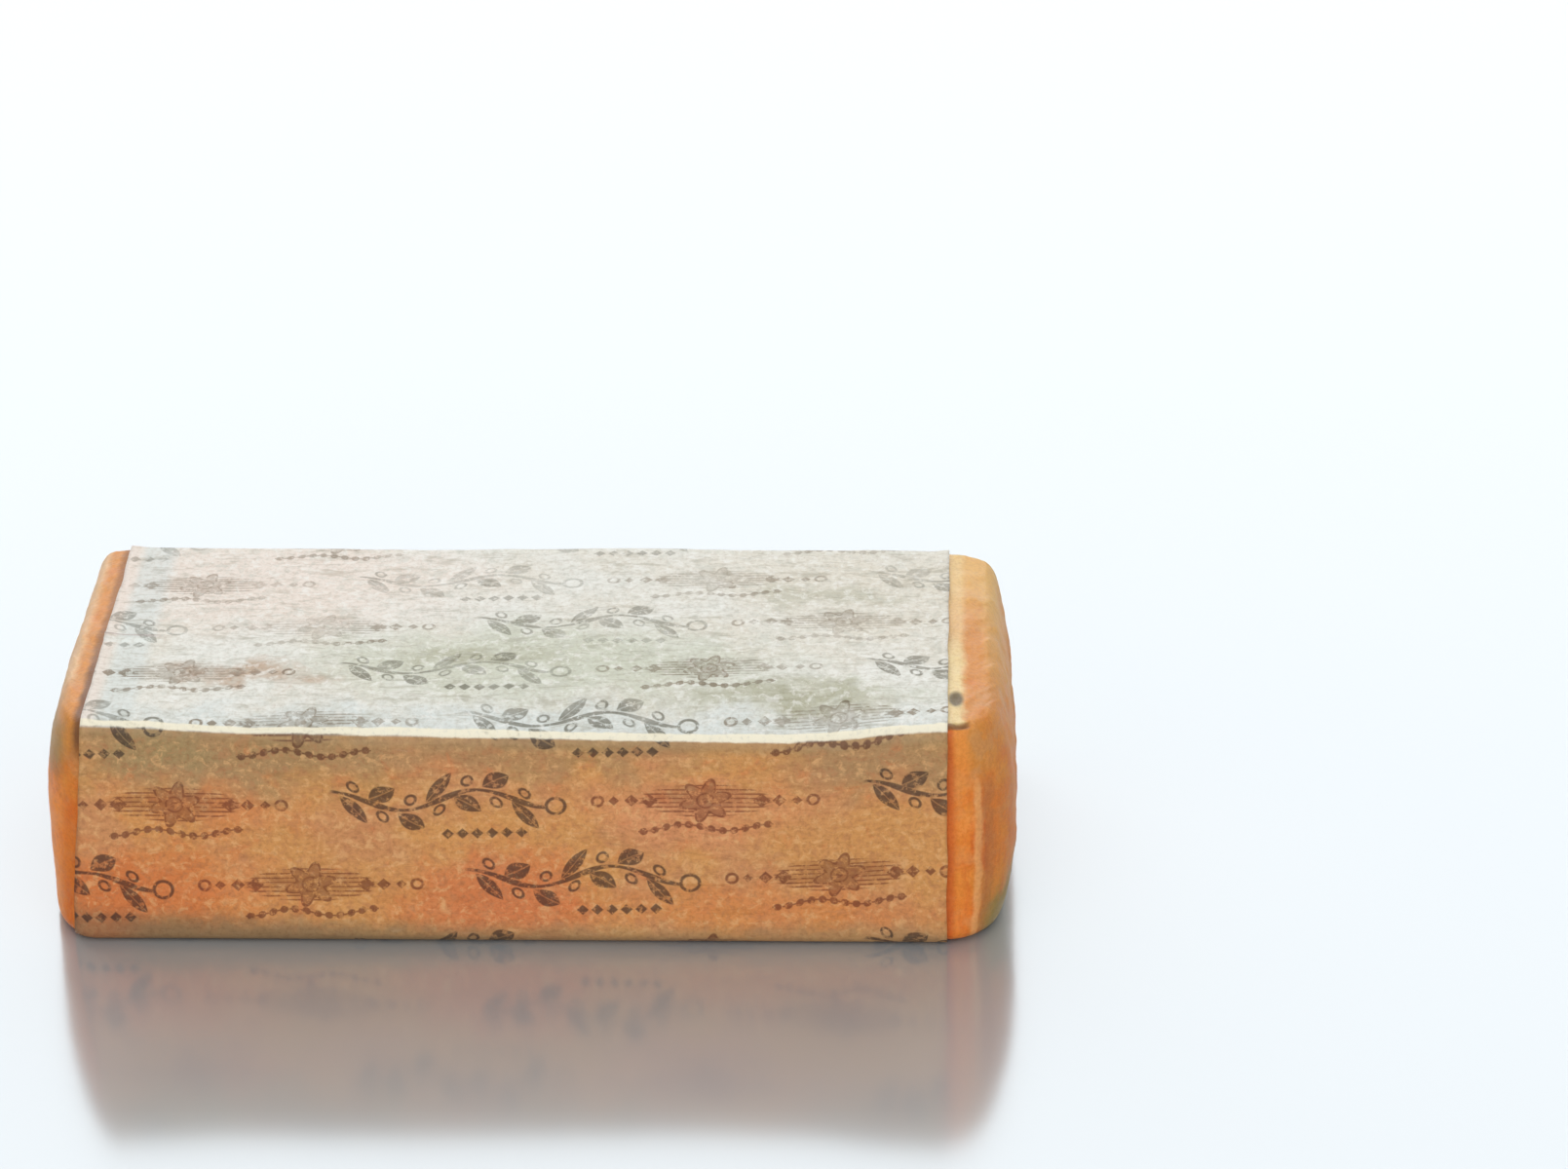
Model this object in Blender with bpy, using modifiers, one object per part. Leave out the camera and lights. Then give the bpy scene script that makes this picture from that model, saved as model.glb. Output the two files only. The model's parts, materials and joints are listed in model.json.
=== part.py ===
"""Half of a square washed-rind cheese, cut straight across, with its paper still round it.

The block rests on its underside, with its length along X and Z up. The outer
rind side faces -Y and the cut face looks towards +Y. The origin is at the
middle of the underside. Every size is in metres.
"""

import math
import random

import bmesh
import bpy
from mathutils import Euler, Vector, noise

# Driving dimensions
LENGTH = 0.200
DEPTH = 0.0780
HEIGHT = 0.0512
PAPER_THICKNESS = 0.0003
PAPER_GAP = 0.0003
LEFT_MARGIN = 0.0106
RIGHT_MARGIN = 0.0145
PAPER_FLARE = 0.0048

# Shape of the rind
EDGE_RADIUS = 0.0026
CORNER_DEPTH_LEFT = 0.020
CORNER_DEPTH_RIGHT = 0.018
CORNER_TURN = 0.96
TOP_INSET_LEFT = 0.0046
TOP_INSET_RIGHT = 0.0040
BASE_INSET_LEFT = 0.0006
BASE_INSET_RIGHT = 0.0026
TAPER_LEFT = 0.0
TAPER_RIGHT = 0.0016
SHOULDER_DROP_LEFT = 0.0012
SHOULDER_DROP_RIGHT = 0.0024
WIDEST_AT = 0.42
FOOT_SPREAD_LEFT = 0.0018
FOOT_SPREAD_RIGHT = 0.0008
FOLD_SAG = 0.0028
FOLD_SAG_DEPTH = 0.016
WAVE_HEIGHT = 0.0007
WAVE_LENGTH = 0.045
CRAG_HEIGHT = 0.0006
CRAG_LENGTH = 0.008

# Eyes of the paste, which show as pits in the cut face
EYE_SEED = 11
EYE_COUNT = 18
EYE_RADIUS_SMALL = 0.0005
EYE_RADIUS_LARGE = 0.0014
EYE_MARGIN = 0.006
EYE_SPACING = 0.006

# Spacing of the points on the meshes
EDGE_ANGLES = (0.0, 15.0, 30.0)
CORNER_STEPS = 5
LONG_STEPS = 28
FLARE_STEPS = 3
DEEP_STEPS = 9
HIGH_STEPS = 10
SPARE = 0.010

# Places worked out from the sizes above
HALF_LENGTH = LENGTH / 2
FRONT = -DEPTH / 2 + PAPER_THICKNESS + PAPER_GAP + FOOT_SPREAD_LEFT
CUT = DEPTH / 2
BASE = PAPER_THICKNESS + PAPER_GAP
TOP = HEIGHT - PAPER_THICKNESS - PAPER_GAP
PAPER_LEFT = -HALF_LENGTH + LEFT_MARGIN
PAPER_RIGHT = HALF_LENGTH - RIGHT_MARGIN


def clamp(value, low, high):
    return max(low, min(high, value))


def smooth(value):
    """A soft step from 0 to 1 while value goes from 0 to 1."""
    t = clamp(value, 0.0, 1.0)
    return t * t * (3.0 - 2.0 * t)


def empty_scene():
    for thing in list(bpy.data.objects):
        bpy.data.objects.remove(thing, do_unlink=True)


def new_collection(name):
    collection = bpy.data.collections.new(name)
    bpy.context.scene.collection.children.link(collection)
    return collection


def finish(name, colour, roughness):
    """A Principled material with one colour and no metal."""
    material = bpy.data.materials.new(name)
    material.use_nodes = True
    shader = material.node_tree.nodes["Principled BSDF"]
    shader.inputs["Base Color"].default_value = (*colour, 1.0)
    shader.inputs["Roughness"].default_value = roughness
    shader.inputs["Metallic"].default_value = 0.0
    return material


def object_from(name, mesh_data, collection, material):
    """An object made from a bmesh, which is freed."""
    data = bpy.data.meshes.new(name)
    mesh_data.to_mesh(data)
    mesh_data.free()
    data.materials.append(material)
    made = bpy.data.objects.new(name, data)
    collection.objects.link(made)
    return made


# The form of the rind
def past_margin(x):
    """How far x has gone from the paper's edge to the end: 0 to 1."""
    if x < PAPER_LEFT:
        return (PAPER_LEFT - x) / LEFT_MARGIN
    if x > PAPER_RIGHT:
        return (x - PAPER_RIGHT) / RIGHT_MARGIN
    return 0.0


def rounded(block_point, lift):
    """A point of the plain block moved onto the block with rounded edges, and its outward direction."""
    x, y, z = block_point
    core = Vector((
        clamp(x, -HALF_LENGTH + EDGE_RADIUS, HALF_LENGTH - EDGE_RADIUS),
        max(y, FRONT + EDGE_RADIUS),
        clamp(z, BASE + EDGE_RADIUS, TOP - EDGE_RADIUS),
    ))
    outward = (Vector(block_point) - core).normalized()
    return core + outward * (EDGE_RADIUS + lift), outward


def end_inset(x, y, height):
    """How far an end is drawn in at this depth and height, which goes from 0 at the base to 1 at the top."""
    top_inset = TOP_INSET_LEFT if x < 0 else TOP_INSET_RIGHT
    base_inset = BASE_INSET_LEFT if x < 0 else BASE_INSET_RIGHT
    taper = TAPER_LEFT if x < 0 else TAPER_RIGHT
    above = max(0.0, height - WIDEST_AT) / (1.0 - WIDEST_AT)
    below = max(0.0, WIDEST_AT - height) / WIDEST_AT
    back = (y - FRONT) / (CUT - FRONT)
    return top_inset * above**2.6 + base_inset * below**2.2 + taper * (0.3 + 0.7 * back)


def shoulder_drop(x, height):
    """How far the top slopes down from the paper's edge to an end."""
    drop = SHOULDER_DROP_LEFT if x < 0 else SHOULDER_DROP_RIGHT
    return drop * past_margin(x) ** 2 * smooth((height - WIDEST_AT) / (1.0 - WIDEST_AT))


def corner_shift(x):
    """How far the front face falls back where it turns into an end."""
    depth = CORNER_DEPTH_LEFT if x < 0 else CORNER_DEPTH_RIGHT
    turn = min(past_margin(x), 1.0) * CORNER_TURN
    return depth * (1.0 - math.sqrt(1.0 - turn * turn))


def foot_spread(x, height):
    """How far the foot of the front has spread forwards under the cheese's weight."""
    along = clamp(0.5 + x / LENGTH, 0.0, 1.0)
    reach = FOOT_SPREAD_LEFT + (FOOT_SPREAD_RIGHT - FOOT_SPREAD_LEFT) * along
    return reach * (1.0 - height) ** 1.5


def fold_drop(x, y):
    """How far the fold above the front sags: nothing at its ends, and most near its right end."""
    along = (x - PAPER_LEFT) / (PAPER_RIGHT - PAPER_LEFT)
    ends = smooth(along / 0.20) * smooth((1.0 - along) / 0.20)
    back = smooth(1.0 - (y - FRONT) / FOLD_SAG_DEPTH)
    return FOLD_SAG * ends * (0.35 + 0.80 * along) * back


def wave(point, length, seed):
    """Smooth noise from -1 to 1 that changes over the given length."""
    return noise.noise(point / length + Vector((seed, 0.0, 0.0)), noise_basis="PERLIN_ORIGINAL")


def relief(point, outward):
    """Height of the rind's waves and crags. The underside stays flat, and the paper calms the crags."""
    off_base = smooth((point.z - BASE) / EDGE_RADIUS) * smooth(1.0 + outward.z)
    bare = smooth(past_margin(point.x) * 3.0)
    broad = WAVE_HEIGHT * wave(point, WAVE_LENGTH, 3.1)
    crags = CRAG_HEIGHT * wave(point, CRAG_LENGTH, 7.7) * (0.25 + 0.75 * bare)
    return (broad + crags) * off_base


def rind_point(block_point, lift=0.0):
    """The place on the rind, or lift above it, of a point on the plain block's surface."""
    point, outward = rounded(block_point, lift)
    point += outward * relief(point, outward)
    height = clamp((point.z - BASE) / (TOP - BASE), 0.0, 1.0)
    inset = end_inset(point.x, point.y, height) * past_margin(point.x)
    front_shift = corner_shift(point.x) - foot_spread(point.x, height)
    depth_kept = 1.0 - front_shift / (CUT - FRONT)
    drop = fold_drop(point.x, point.y) * height + shoulder_drop(point.x, height)
    return Vector((
        point.x - math.copysign(inset, point.x),
        CUT - (CUT - point.y) * depth_kept,
        point.z - drop,
    ))


# Stations, the places where lines of points run round the block
def spread(start, end, steps):
    """Even places from start to end, without start."""
    return [start + (end - start) * (i + 1) / steps for i in range(steps)]


def edge_rings():
    """Distances from an edge that share its rounding into even angles."""
    return [EDGE_RADIUS * (1.0 - math.tan(math.radians(a))) for a in EDGE_ANGLES]


def long_stations():
    rings = edge_rings()
    left = [-HALF_LENGTH + d for d in reversed(rings)]
    right = [HALF_LENGTH - d for d in rings]
    left += spread(left[-1], PAPER_LEFT, CORNER_STEPS - 2)
    middle = spread(PAPER_LEFT, PAPER_RIGHT, LONG_STEPS)
    return left + middle + spread(PAPER_RIGHT, right[0], CORNER_STEPS) + right[1:]


def deep_stations():
    front = [FRONT + d for d in reversed(edge_rings())]
    return front + spread(front[-1], CUT + SPARE, DEEP_STEPS)[:-1]


def high_stations():
    rings = edge_rings()
    low = [BASE + d for d in reversed(rings)]
    high = [TOP - d for d in rings]
    return low + spread(low[-1], high[0], HIGH_STEPS) + high[1:]


# The cheese
def plain_block():
    """A box whose surface is cut into a grid by planes through the stations."""
    block = bmesh.new()
    bmesh.ops.create_cube(block, size=1.0)
    low = Vector((-HALF_LENGTH, FRONT, BASE))
    high = Vector((HALF_LENGTH, CUT + SPARE, TOP))
    bmesh.ops.scale(block, vec=high - low, verts=block.verts)
    bmesh.ops.translate(block, vec=(low + high) / 2, verts=block.verts)
    for axis, stations in enumerate((long_stations(), deep_stations(), high_stations())):
        normal = Vector((0.0, 0.0, 0.0))
        normal[axis] = 1.0
        for place in stations:
            geometry = block.verts[:] + block.edges[:] + block.faces[:]
            bmesh.ops.bisect_plane(
                block, geom=geometry, dist=1e-7, plane_co=normal * place, plane_no=normal
            )
    return block


def cheese(collection, material):
    block = plain_block()
    for vertex in block.verts:
        vertex.co = rind_point(vertex.co)
    made = object_from("cheese_block", block, collection, material)
    made.data.shade_smooth()
    return made


# What the knife and the eyes take away
def knife(collection, material):
    """A box over everything behind the cut."""
    tool = bmesh.new()
    bmesh.ops.create_cube(tool, size=1.0)
    bmesh.ops.scale(tool, vec=(LENGTH * 1.2, SPARE * 4, HEIGHT * 1.6), verts=tool.verts)
    made = object_from("knife_cut", tool, collection, material)
    made.location = (0.0, CUT + SPARE * 2, HEIGHT / 2)
    return made


def eye_places(draw):
    """Places on the cut face, no two closer than the spacing, and a radius for each."""
    places = []
    while len(places) < EYE_COUNT:
        x = draw.uniform(PAPER_LEFT + EYE_MARGIN, PAPER_RIGHT - EYE_MARGIN)
        z = draw.uniform(BASE + EYE_MARGIN, TOP - EYE_MARGIN)
        radius = EYE_RADIUS_SMALL + (EYE_RADIUS_LARGE - EYE_RADIUS_SMALL) * draw.random() ** 2.2
        if all(math.hypot(x - p[0], z - p[1]) > EYE_SPACING for p in places):
            places.append((x, z, radius))
    return places


def eye(name, radius, draw, collection, material):
    """A small uneven bubble."""
    bubble = bmesh.new()
    bmesh.ops.create_icosphere(bubble, subdivisions=2, radius=radius)
    for vertex in bubble.verts:
        vertex.co *= draw.uniform(0.85, 1.12)
    stretch = (draw.uniform(1.0, 1.6), draw.uniform(0.8, 1.1), draw.uniform(0.6, 0.95))
    bmesh.ops.scale(bubble, vec=stretch, verts=bubble.verts)
    made = object_from(name, bubble, collection, material)
    made.rotation_euler = Euler((0.0, draw.uniform(-0.5, 0.5), 0.0))
    return made


def eyes(collection, material):
    draw = random.Random(EYE_SEED)
    made = []
    for number, (x, z, radius) in enumerate(eye_places(draw)):
        bubble = eye(f"eye_{number + 1:02d}", radius, draw, collection, material)
        bubble.location = (x, CUT + radius * draw.uniform(-0.2, 0.25), z)
        made.append(bubble)
    return made


def hide_cutter(cutter):
    cutter.hide_render = True
    cutter.display_type = "WIRE"


def take_away(body, name, cutters):
    cut = body.modifiers.new(name, "BOOLEAN")
    cut.operation = "DIFFERENCE"
    cut.solver = "EXACT"
    cut.operand_type = "COLLECTION"
    cut.collection = cutters
    cut.material_mode = "TRANSFER"


# The paper
def sheet_path():
    """Points of the plain block's section that the paper follows: underside, front and top."""
    base = [(y, BASE) for y in reversed(deep_stations()) if y < CUT]
    front = [(FRONT, z) for z in high_stations()]
    top = [(y, TOP) for y in deep_stations() if y < CUT]
    corner_low = [(FRONT, BASE)]
    corner_high = [(FRONT, TOP)]
    return [(CUT, BASE)] + base + corner_low + front + corner_high + top + [(CUT, TOP)]


def sheet_left(y, z):
    """The paper's left edge, which runs outwards down the front."""
    down = clamp((TOP - z) / (TOP - BASE), 0.0, 1.0)
    return PAPER_LEFT - PAPER_FLARE * down * smooth(1.0 - (y - FRONT) / DEPTH)


def sheet_columns():
    """Distances from the paper's left edge, closer together where it turns round the corner."""
    narrow = [PAPER_FLARE * step / FLARE_STEPS for step in range(FLARE_STEPS)]
    return narrow + [PAPER_FLARE] + spread(PAPER_FLARE, PAPER_RIGHT - PAPER_LEFT, LONG_STEPS)


def paper(collection, material):
    """One sheet folded round the block, laid on the rind and thickened outwards."""
    path = sheet_path()
    columns = sheet_columns()
    rows, across = len(path) - 1, len(columns) - 1
    sheet = bmesh.new()
    bmesh.ops.create_grid(sheet, x_segments=across, y_segments=rows, size=0.5)
    for vertex in sheet.verts:
        y, z = path[round((vertex.co.y + 0.5) * rows)]
        share = columns[round((vertex.co.x + 0.5) * across)] / columns[-1]
        left = sheet_left(y, z)
        x = left + (PAPER_RIGHT - left) * share
        vertex.co = rind_point((x, y, z), PAPER_GAP)
    made = object_from("paper_wrap", sheet, collection, material)
    made.data.shade_smooth()
    solid = made.modifiers.new("Paper thickness", "SOLIDIFY")
    solid.thickness = PAPER_THICKNESS
    solid.offset = 1.0
    return made


def main():
    empty_scene()
    block = new_collection("taleggio_block")
    cutters = new_collection("cutters")
    rind = finish("rind", (0.62, 0.27, 0.07), 0.6)
    paste = finish("paste", (0.86, 0.76, 0.48), 0.5)
    wrap = finish("paper", (0.74, 0.70, 0.62), 0.75)
    body = cheese(block, rind)
    hide_cutter(knife(cutters, paste))
    for bubble in eyes(cutters, paste):
        hide_cutter(bubble)
    take_away(body, "Knife and eyes", cutters)
    paper(block, wrap)


main()
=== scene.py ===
# %% [markdown]
# # Half a washed-rind cheese in its paper
#
# A square slab of soft cheese has been cut straight through, and this is one half. It is about 20 cm
# long. One sheet of printed paper still runs over its top, down its front and under it. The two rounded
# ends are bare rind, and the back is the cut face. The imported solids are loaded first. They are the
# fixed frame that the finer meshes below are fitted to.

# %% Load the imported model
import json
import math
import random

import bmesh
import bpy
from mathutils import Euler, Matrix, Quaternion, Vector, noise

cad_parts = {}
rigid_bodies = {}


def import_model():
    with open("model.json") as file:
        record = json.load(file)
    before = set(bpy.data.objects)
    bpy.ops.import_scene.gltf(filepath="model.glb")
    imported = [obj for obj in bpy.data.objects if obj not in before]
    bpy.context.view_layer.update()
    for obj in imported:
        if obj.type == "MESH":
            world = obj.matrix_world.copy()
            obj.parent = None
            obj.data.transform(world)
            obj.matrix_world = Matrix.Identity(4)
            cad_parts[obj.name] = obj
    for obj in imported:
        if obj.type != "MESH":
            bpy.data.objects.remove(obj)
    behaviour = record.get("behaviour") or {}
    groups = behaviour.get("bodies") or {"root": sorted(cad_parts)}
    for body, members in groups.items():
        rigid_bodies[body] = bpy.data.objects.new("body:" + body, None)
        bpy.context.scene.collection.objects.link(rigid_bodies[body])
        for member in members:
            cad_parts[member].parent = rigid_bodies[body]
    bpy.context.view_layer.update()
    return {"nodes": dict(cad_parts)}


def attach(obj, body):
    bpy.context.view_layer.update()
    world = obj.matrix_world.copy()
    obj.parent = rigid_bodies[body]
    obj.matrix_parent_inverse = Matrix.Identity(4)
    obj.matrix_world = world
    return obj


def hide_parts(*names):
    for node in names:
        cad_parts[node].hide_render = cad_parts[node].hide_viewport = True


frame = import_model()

print("solids:", ", ".join(sorted(frame["nodes"])))

# %% [markdown]
# ## The camera
#
# The camera comes first, because every later choice is judged through it. It looks down on the block by
# 28 degrees from about a metre away, through a long lens, so that the long edges stay nearly parallel.
# A camera could also be aimed with a Track To constraint. Three angles are plainer, and they keep the
# slight tilt of the photograph.

# %% Camera
CAMERA_PLACE = (0.0893, -0.9805, 0.5856)
CAMERA_DOWN = 28.0
CAMERA_TURN = 2.2
CAMERA_TILT = -0.72
CAMERA_LENS = 124.1
NEAREST_SEEN = 0.01


def placed(name, data):
    """A new object that shows this data, put into the scene."""
    made = bpy.data.objects.new(name, data)
    bpy.context.scene.collection.objects.link(made)
    return made


def make_camera():
    data = bpy.data.cameras.new("photo_camera")
    data.lens = CAMERA_LENS
    data.clip_start = NEAREST_SEEN
    made = placed("photo_camera", data)
    aim = Euler((math.radians(90 - CAMERA_DOWN), 0, math.radians(CAMERA_TURN))).to_quaternion()
    made.rotation_mode = "QUATERNION"
    made.rotation_quaternion = aim @ Quaternion((0, 0, 1), math.radians(CAMERA_TILT))
    made.location = CAMERA_PLACE
    bpy.context.scene.camera = made
    return made


camera = make_camera()
print(camera.name, "looks down by", CAMERA_DOWN, "degrees through a", CAMERA_LENS, "mm lens")

# %% [markdown]
# ## The form of the block
#
# A soft cheese is a box that has given way: its edges are round, its ends lean in, its foot spreads and
# its long top edge sags. It could be sculpted by hand. Here a plain box is bent by a few formulas
# instead, the same ones that the solids follow, so the fine meshes lie exactly where the solids are.
# Both the cheese and the paper go through these formulas, which is why the paper clings to the rind.

# %% Sizes of the block
LENGTH = 0.200
DEPTH = 0.0780
HEIGHT = 0.0512
PAPER_THICKNESS = 0.0003
PAPER_GAP = 0.0003
LEFT_MARGIN = 0.0106
RIGHT_MARGIN = 0.0145
PAPER_FLARE = 0.0048
EDGE_RADIUS = 0.0026

HALF_LENGTH = LENGTH / 2
FOOT_SPREAD_LEFT = 0.0018
FOOT_SPREAD_RIGHT = 0.0008
FRONT = -DEPTH / 2 + PAPER_THICKNESS + PAPER_GAP + FOOT_SPREAD_LEFT
CUT = DEPTH / 2
BASE = PAPER_THICKNESS + PAPER_GAP
TOP = HEIGHT - PAPER_THICKNESS - PAPER_GAP
PAPER_LEFT = -HALF_LENGTH + LEFT_MARGIN
PAPER_RIGHT = HALF_LENGTH - RIGHT_MARGIN
corners = ((-HALF_LENGTH, FRONT, BASE), (HALF_LENGTH, CUT, TOP))
print("plain block in mm:", [[round(part * 1000, 1) for part in corner] for corner in corners])


# %% Small helpers
def clamp(value, low, high):
    return max(low, min(high, value))


def smooth(value):
    """A soft step from 0 to 1 while value goes from 0 to 1."""
    t = clamp(value, 0.0, 1.0)
    return t * t * (3.0 - 2.0 * t)


def wave(point, length, seed):
    """Smooth noise from -1 to 1 that changes over the given length. The seed picks a part of it."""
    return noise.noise(point / length + Vector((seed, 0.0, 0.0)), noise_basis="PERLIN_ORIGINAL")


print("soft step a quarter of the way:", round(smooth(0.25), 3))

# %% Rounded edges
def rounded(block_point, lift):
    """Moves a point of the plain block onto the block with rounded edges.

    Returns it with its outward direction and its share, which is 1 on the outside and falls to 0
    inside the cut face, where points keep their place."""
    x, y, z = block_point
    core = Vector((
        clamp(x, -HALF_LENGTH + EDGE_RADIUS, HALF_LENGTH - EDGE_RADIUS),
        max(y, FRONT + EDGE_RADIUS),
        clamp(z, BASE + EDGE_RADIUS, TOP - EDGE_RADIUS),
    ))
    offset = Vector(block_point) - core
    reach = max(abs(part) for part in offset)
    outward = offset.normalized()
    return core + outward * (reach + lift), outward, reach / EDGE_RADIUS


long_edge = rounded((0.0, FRONT, TOP), 0.0)[0]
print("middle of the long top edge in mm:", [round(part * 1000, 1) for part in long_edge])

# %% Where the ends and the foot give way
CORNER_DEPTH_LEFT = 0.020
CORNER_DEPTH_RIGHT = 0.018
CORNER_TURN = 0.96
TOP_INSET_LEFT = 0.0046
TOP_INSET_RIGHT = 0.0040
BASE_INSET_LEFT = 0.0006
BASE_INSET_RIGHT = 0.0026
TAPER_LEFT = 0.0
TAPER_RIGHT = 0.0016
SHOULDER_DROP_LEFT = 0.0012
SHOULDER_DROP_RIGHT = 0.0024
WIDEST_AT = 0.42
TOP_BEND = 2.6
BASE_BEND = 2.2
TAPER_AT_FRONT = 0.3
FOOT_BEND = 1.5


def past_margin(x):
    """How far x has gone from the paper's edge to the end: 0 to 1."""
    if x < PAPER_LEFT:
        return (PAPER_LEFT - x) / LEFT_MARGIN
    if x > PAPER_RIGHT:
        return (x - PAPER_RIGHT) / RIGHT_MARGIN
    return 0.0


def end_inset(x, y, height):
    """How far an end is drawn in at this depth, and at this height, 0 at the base and 1 at the top."""
    top_inset = TOP_INSET_LEFT if x < 0 else TOP_INSET_RIGHT
    base_inset = BASE_INSET_LEFT if x < 0 else BASE_INSET_RIGHT
    taper = TAPER_LEFT if x < 0 else TAPER_RIGHT
    above = max(0.0, height - WIDEST_AT) / (1.0 - WIDEST_AT)
    below = max(0.0, WIDEST_AT - height) / WIDEST_AT
    back = (y - FRONT) / (CUT - FRONT)
    leaning = TAPER_AT_FRONT + (1.0 - TAPER_AT_FRONT) * back
    return top_inset * above**TOP_BEND + base_inset * below**BASE_BEND + taper * leaning


def shoulder_drop(x, height):
    """How far the top slopes down from the paper's edge to an end."""
    drop = SHOULDER_DROP_LEFT if x < 0 else SHOULDER_DROP_RIGHT
    return drop * past_margin(x) ** 2 * smooth((height - WIDEST_AT) / (1.0 - WIDEST_AT))


def corner_shift(x):
    """How far the front face falls back where it turns into an end."""
    depth = CORNER_DEPTH_LEFT if x < 0 else CORNER_DEPTH_RIGHT
    turn = min(past_margin(x), 1.0) * CORNER_TURN
    return depth * (1.0 - math.sqrt(1.0 - turn * turn))


def foot_spread(x, height):
    """How far the foot of the front has spread forwards under the cheese's weight."""
    along = clamp(0.5 + x / LENGTH, 0.0, 1.0)
    reach = FOOT_SPREAD_LEFT + (FOOT_SPREAD_RIGHT - FOOT_SPREAD_LEFT) * along
    return reach * (1.0 - height) ** FOOT_BEND


shifts = [corner_shift(x) * 1000 for x in (-HALF_LENGTH, HALF_LENGTH)]
print("the front corners fall back by", [round(shift, 1) for shift in shifts], "mm")

# %% Where the long top edge sags, and the low relief of the rind
FOLD_SAG = 0.0028
FOLD_SAG_DEPTH = 0.016
SAG_FADE = 0.20
SAG_AT_LEFT = 0.35
SAG_GAIN = 0.80
WAVE_HEIGHT = 0.0007
WAVE_LENGTH = 0.045
CRAG_HEIGHT = 0.0006
CRAG_LENGTH = 0.008
COVERED_CRAGS = 0.25


def fold_drop(x, y):
    """How far the fold above the front sags: nothing at its ends, and most near its right end."""
    along = (x - PAPER_LEFT) / (PAPER_RIGHT - PAPER_LEFT)
    ends = smooth(along / SAG_FADE) * smooth((1.0 - along) / SAG_FADE)
    back = smooth(1.0 - (y - FRONT) / FOLD_SAG_DEPTH)
    return FOLD_SAG * ends * (SAG_AT_LEFT + SAG_GAIN * along) * back


def relief(point, outward):
    """Height of the rind's waves and crags. The underside stays flat, and the paper calms the crags."""
    off_base = smooth((point.z - BASE) / EDGE_RADIUS) * smooth(1.0 + outward.z)
    bare = smooth(past_margin(point.x) * 3.0)
    broad = WAVE_HEIGHT * wave(point, WAVE_LENGTH, 3.1)
    crags = CRAG_HEIGHT * wave(point, CRAG_LENGTH, 7.7) * (COVERED_CRAGS + (1.0 - COVERED_CRAGS) * bare)
    return (broad + crags) * off_base


def settled(point):
    """A point of the rounded block moved to where the soft cheese has settled."""
    height = clamp((point.z - BASE) / (TOP - BASE), 0.0, 1.0)
    inset = end_inset(point.x, point.y, height) * past_margin(point.x)
    front_shift = corner_shift(point.x) - foot_spread(point.x, height)
    depth_kept = 1.0 - front_shift / (CUT - FRONT)
    return Vector((
        point.x - math.copysign(inset, point.x),
        CUT - (CUT - point.y) * depth_kept,
        point.z - fold_drop(point.x, point.y) * height - shoulder_drop(point.x, height),
    ))


sags = [fold_drop(x, FRONT) * 1000 for x in (-HALF_LENGTH / 2, 0.0, HALF_LENGTH / 2)]
print("the fold sags by", [round(sag, 1) for sag in sags], "mm")

# %% [markdown]
# ## The sheet of paper
#
# The paper is one sheet, folded twice. It could be draped by a cloth simulation, but paper hardly
# stretches and here it sticks to the moist rind, so it simply follows the block. A grid of points is
# laid along the block's section: under it, up the front and back over the top. Each point is lifted a
# little off the rind, with fine wrinkles and edges that come loose. Solidify then gives the sheet its
# thickness.

# %% Path of the sheet round the block
SHEET_STEP = 0.0010
FOLD_ANGLES = [7.5 * step for step in range(7)]


def spread(start, end, step):
    """Even places from start to end, both included, about a step apart."""
    count = max(1, round(abs(end - start) / step))
    return [start + (end - start) * i / count for i in range(count + 1)]


def fold_steps():
    """Distances from a folded edge of the plain block that turn into even angles of its rounding."""
    return [EDGE_RADIUS * (1.0 - math.tan(math.radians(angle))) for angle in FOLD_ANGLES]


def sheet_path():
    """Points of the block's section that the sheet follows, and the numbers of its two folds."""
    near = fold_steps()
    under = [(y, BASE) for y in spread(CUT, FRONT + EDGE_RADIUS, SHEET_STEP)]
    under += [(FRONT + d, BASE) for d in near[1:-1]]
    front = [(FRONT, BASE + d) for d in reversed(near[1:-1])]
    front += [(FRONT, z) for z in spread(BASE + EDGE_RADIUS, TOP - EDGE_RADIUS, SHEET_STEP)]
    front += [(FRONT, TOP - d) for d in near[1:-1]]
    top = [(FRONT + d, TOP) for d in reversed(near[1:-1])]
    top += [(y, TOP) for y in spread(FRONT + EDGE_RADIUS, CUT, SHEET_STEP)]
    path = under + [(FRONT, BASE)] + front + [(FRONT, TOP)] + top
    return path, len(under), len(under) + 1 + len(front)


def lengths_along(path):
    """How far each point of the path lies from the sheet's first edge, measured on the paper."""
    places = [rounded((0.0, y, z), PAPER_GAP)[0] for y, z in path]
    lengths = [0.0]
    for here, there in zip(places, places[1:]):
        lengths.append(lengths[-1] + (there - here).length)
    return lengths


path, low_fold, high_fold = sheet_path()
along_sheet = lengths_along(path)
FOOT_AT, FOLD_AT, SHEET_LENGTH = along_sheet[low_fold], along_sheet[high_fold], along_sheet[-1]
sheet_size = (PAPER_RIGHT - PAPER_LEFT, SHEET_LENGTH)
print("sheet in mm, wide and long:", [round(side * 1000) for side in sheet_size])

# %% Wrinkles and loose edges of the sheet
WRINKLE_HEIGHT = 0.00022
WRINKLE_LONG = 0.030
WRINKLE_NARROW = 0.0030
PUCKER_HEIGHT = 0.00030
PUCKER_LENGTH = 0.011
EDGE_LIFT = 0.0007
EDGE_LIFT_REACH = 0.004
CREASE_HEIGHT = 0.0007
CREASE_AT = 0.035
CREASE_WIDTH = 0.0009
CREASE_REACH = 0.013
CREASE_SLOPE = 0.03
LOOSE_LENGTH = 0.012
LOOSE_SHARE = 0.35
FLAT_PAST_FOOT = 0.004


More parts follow.
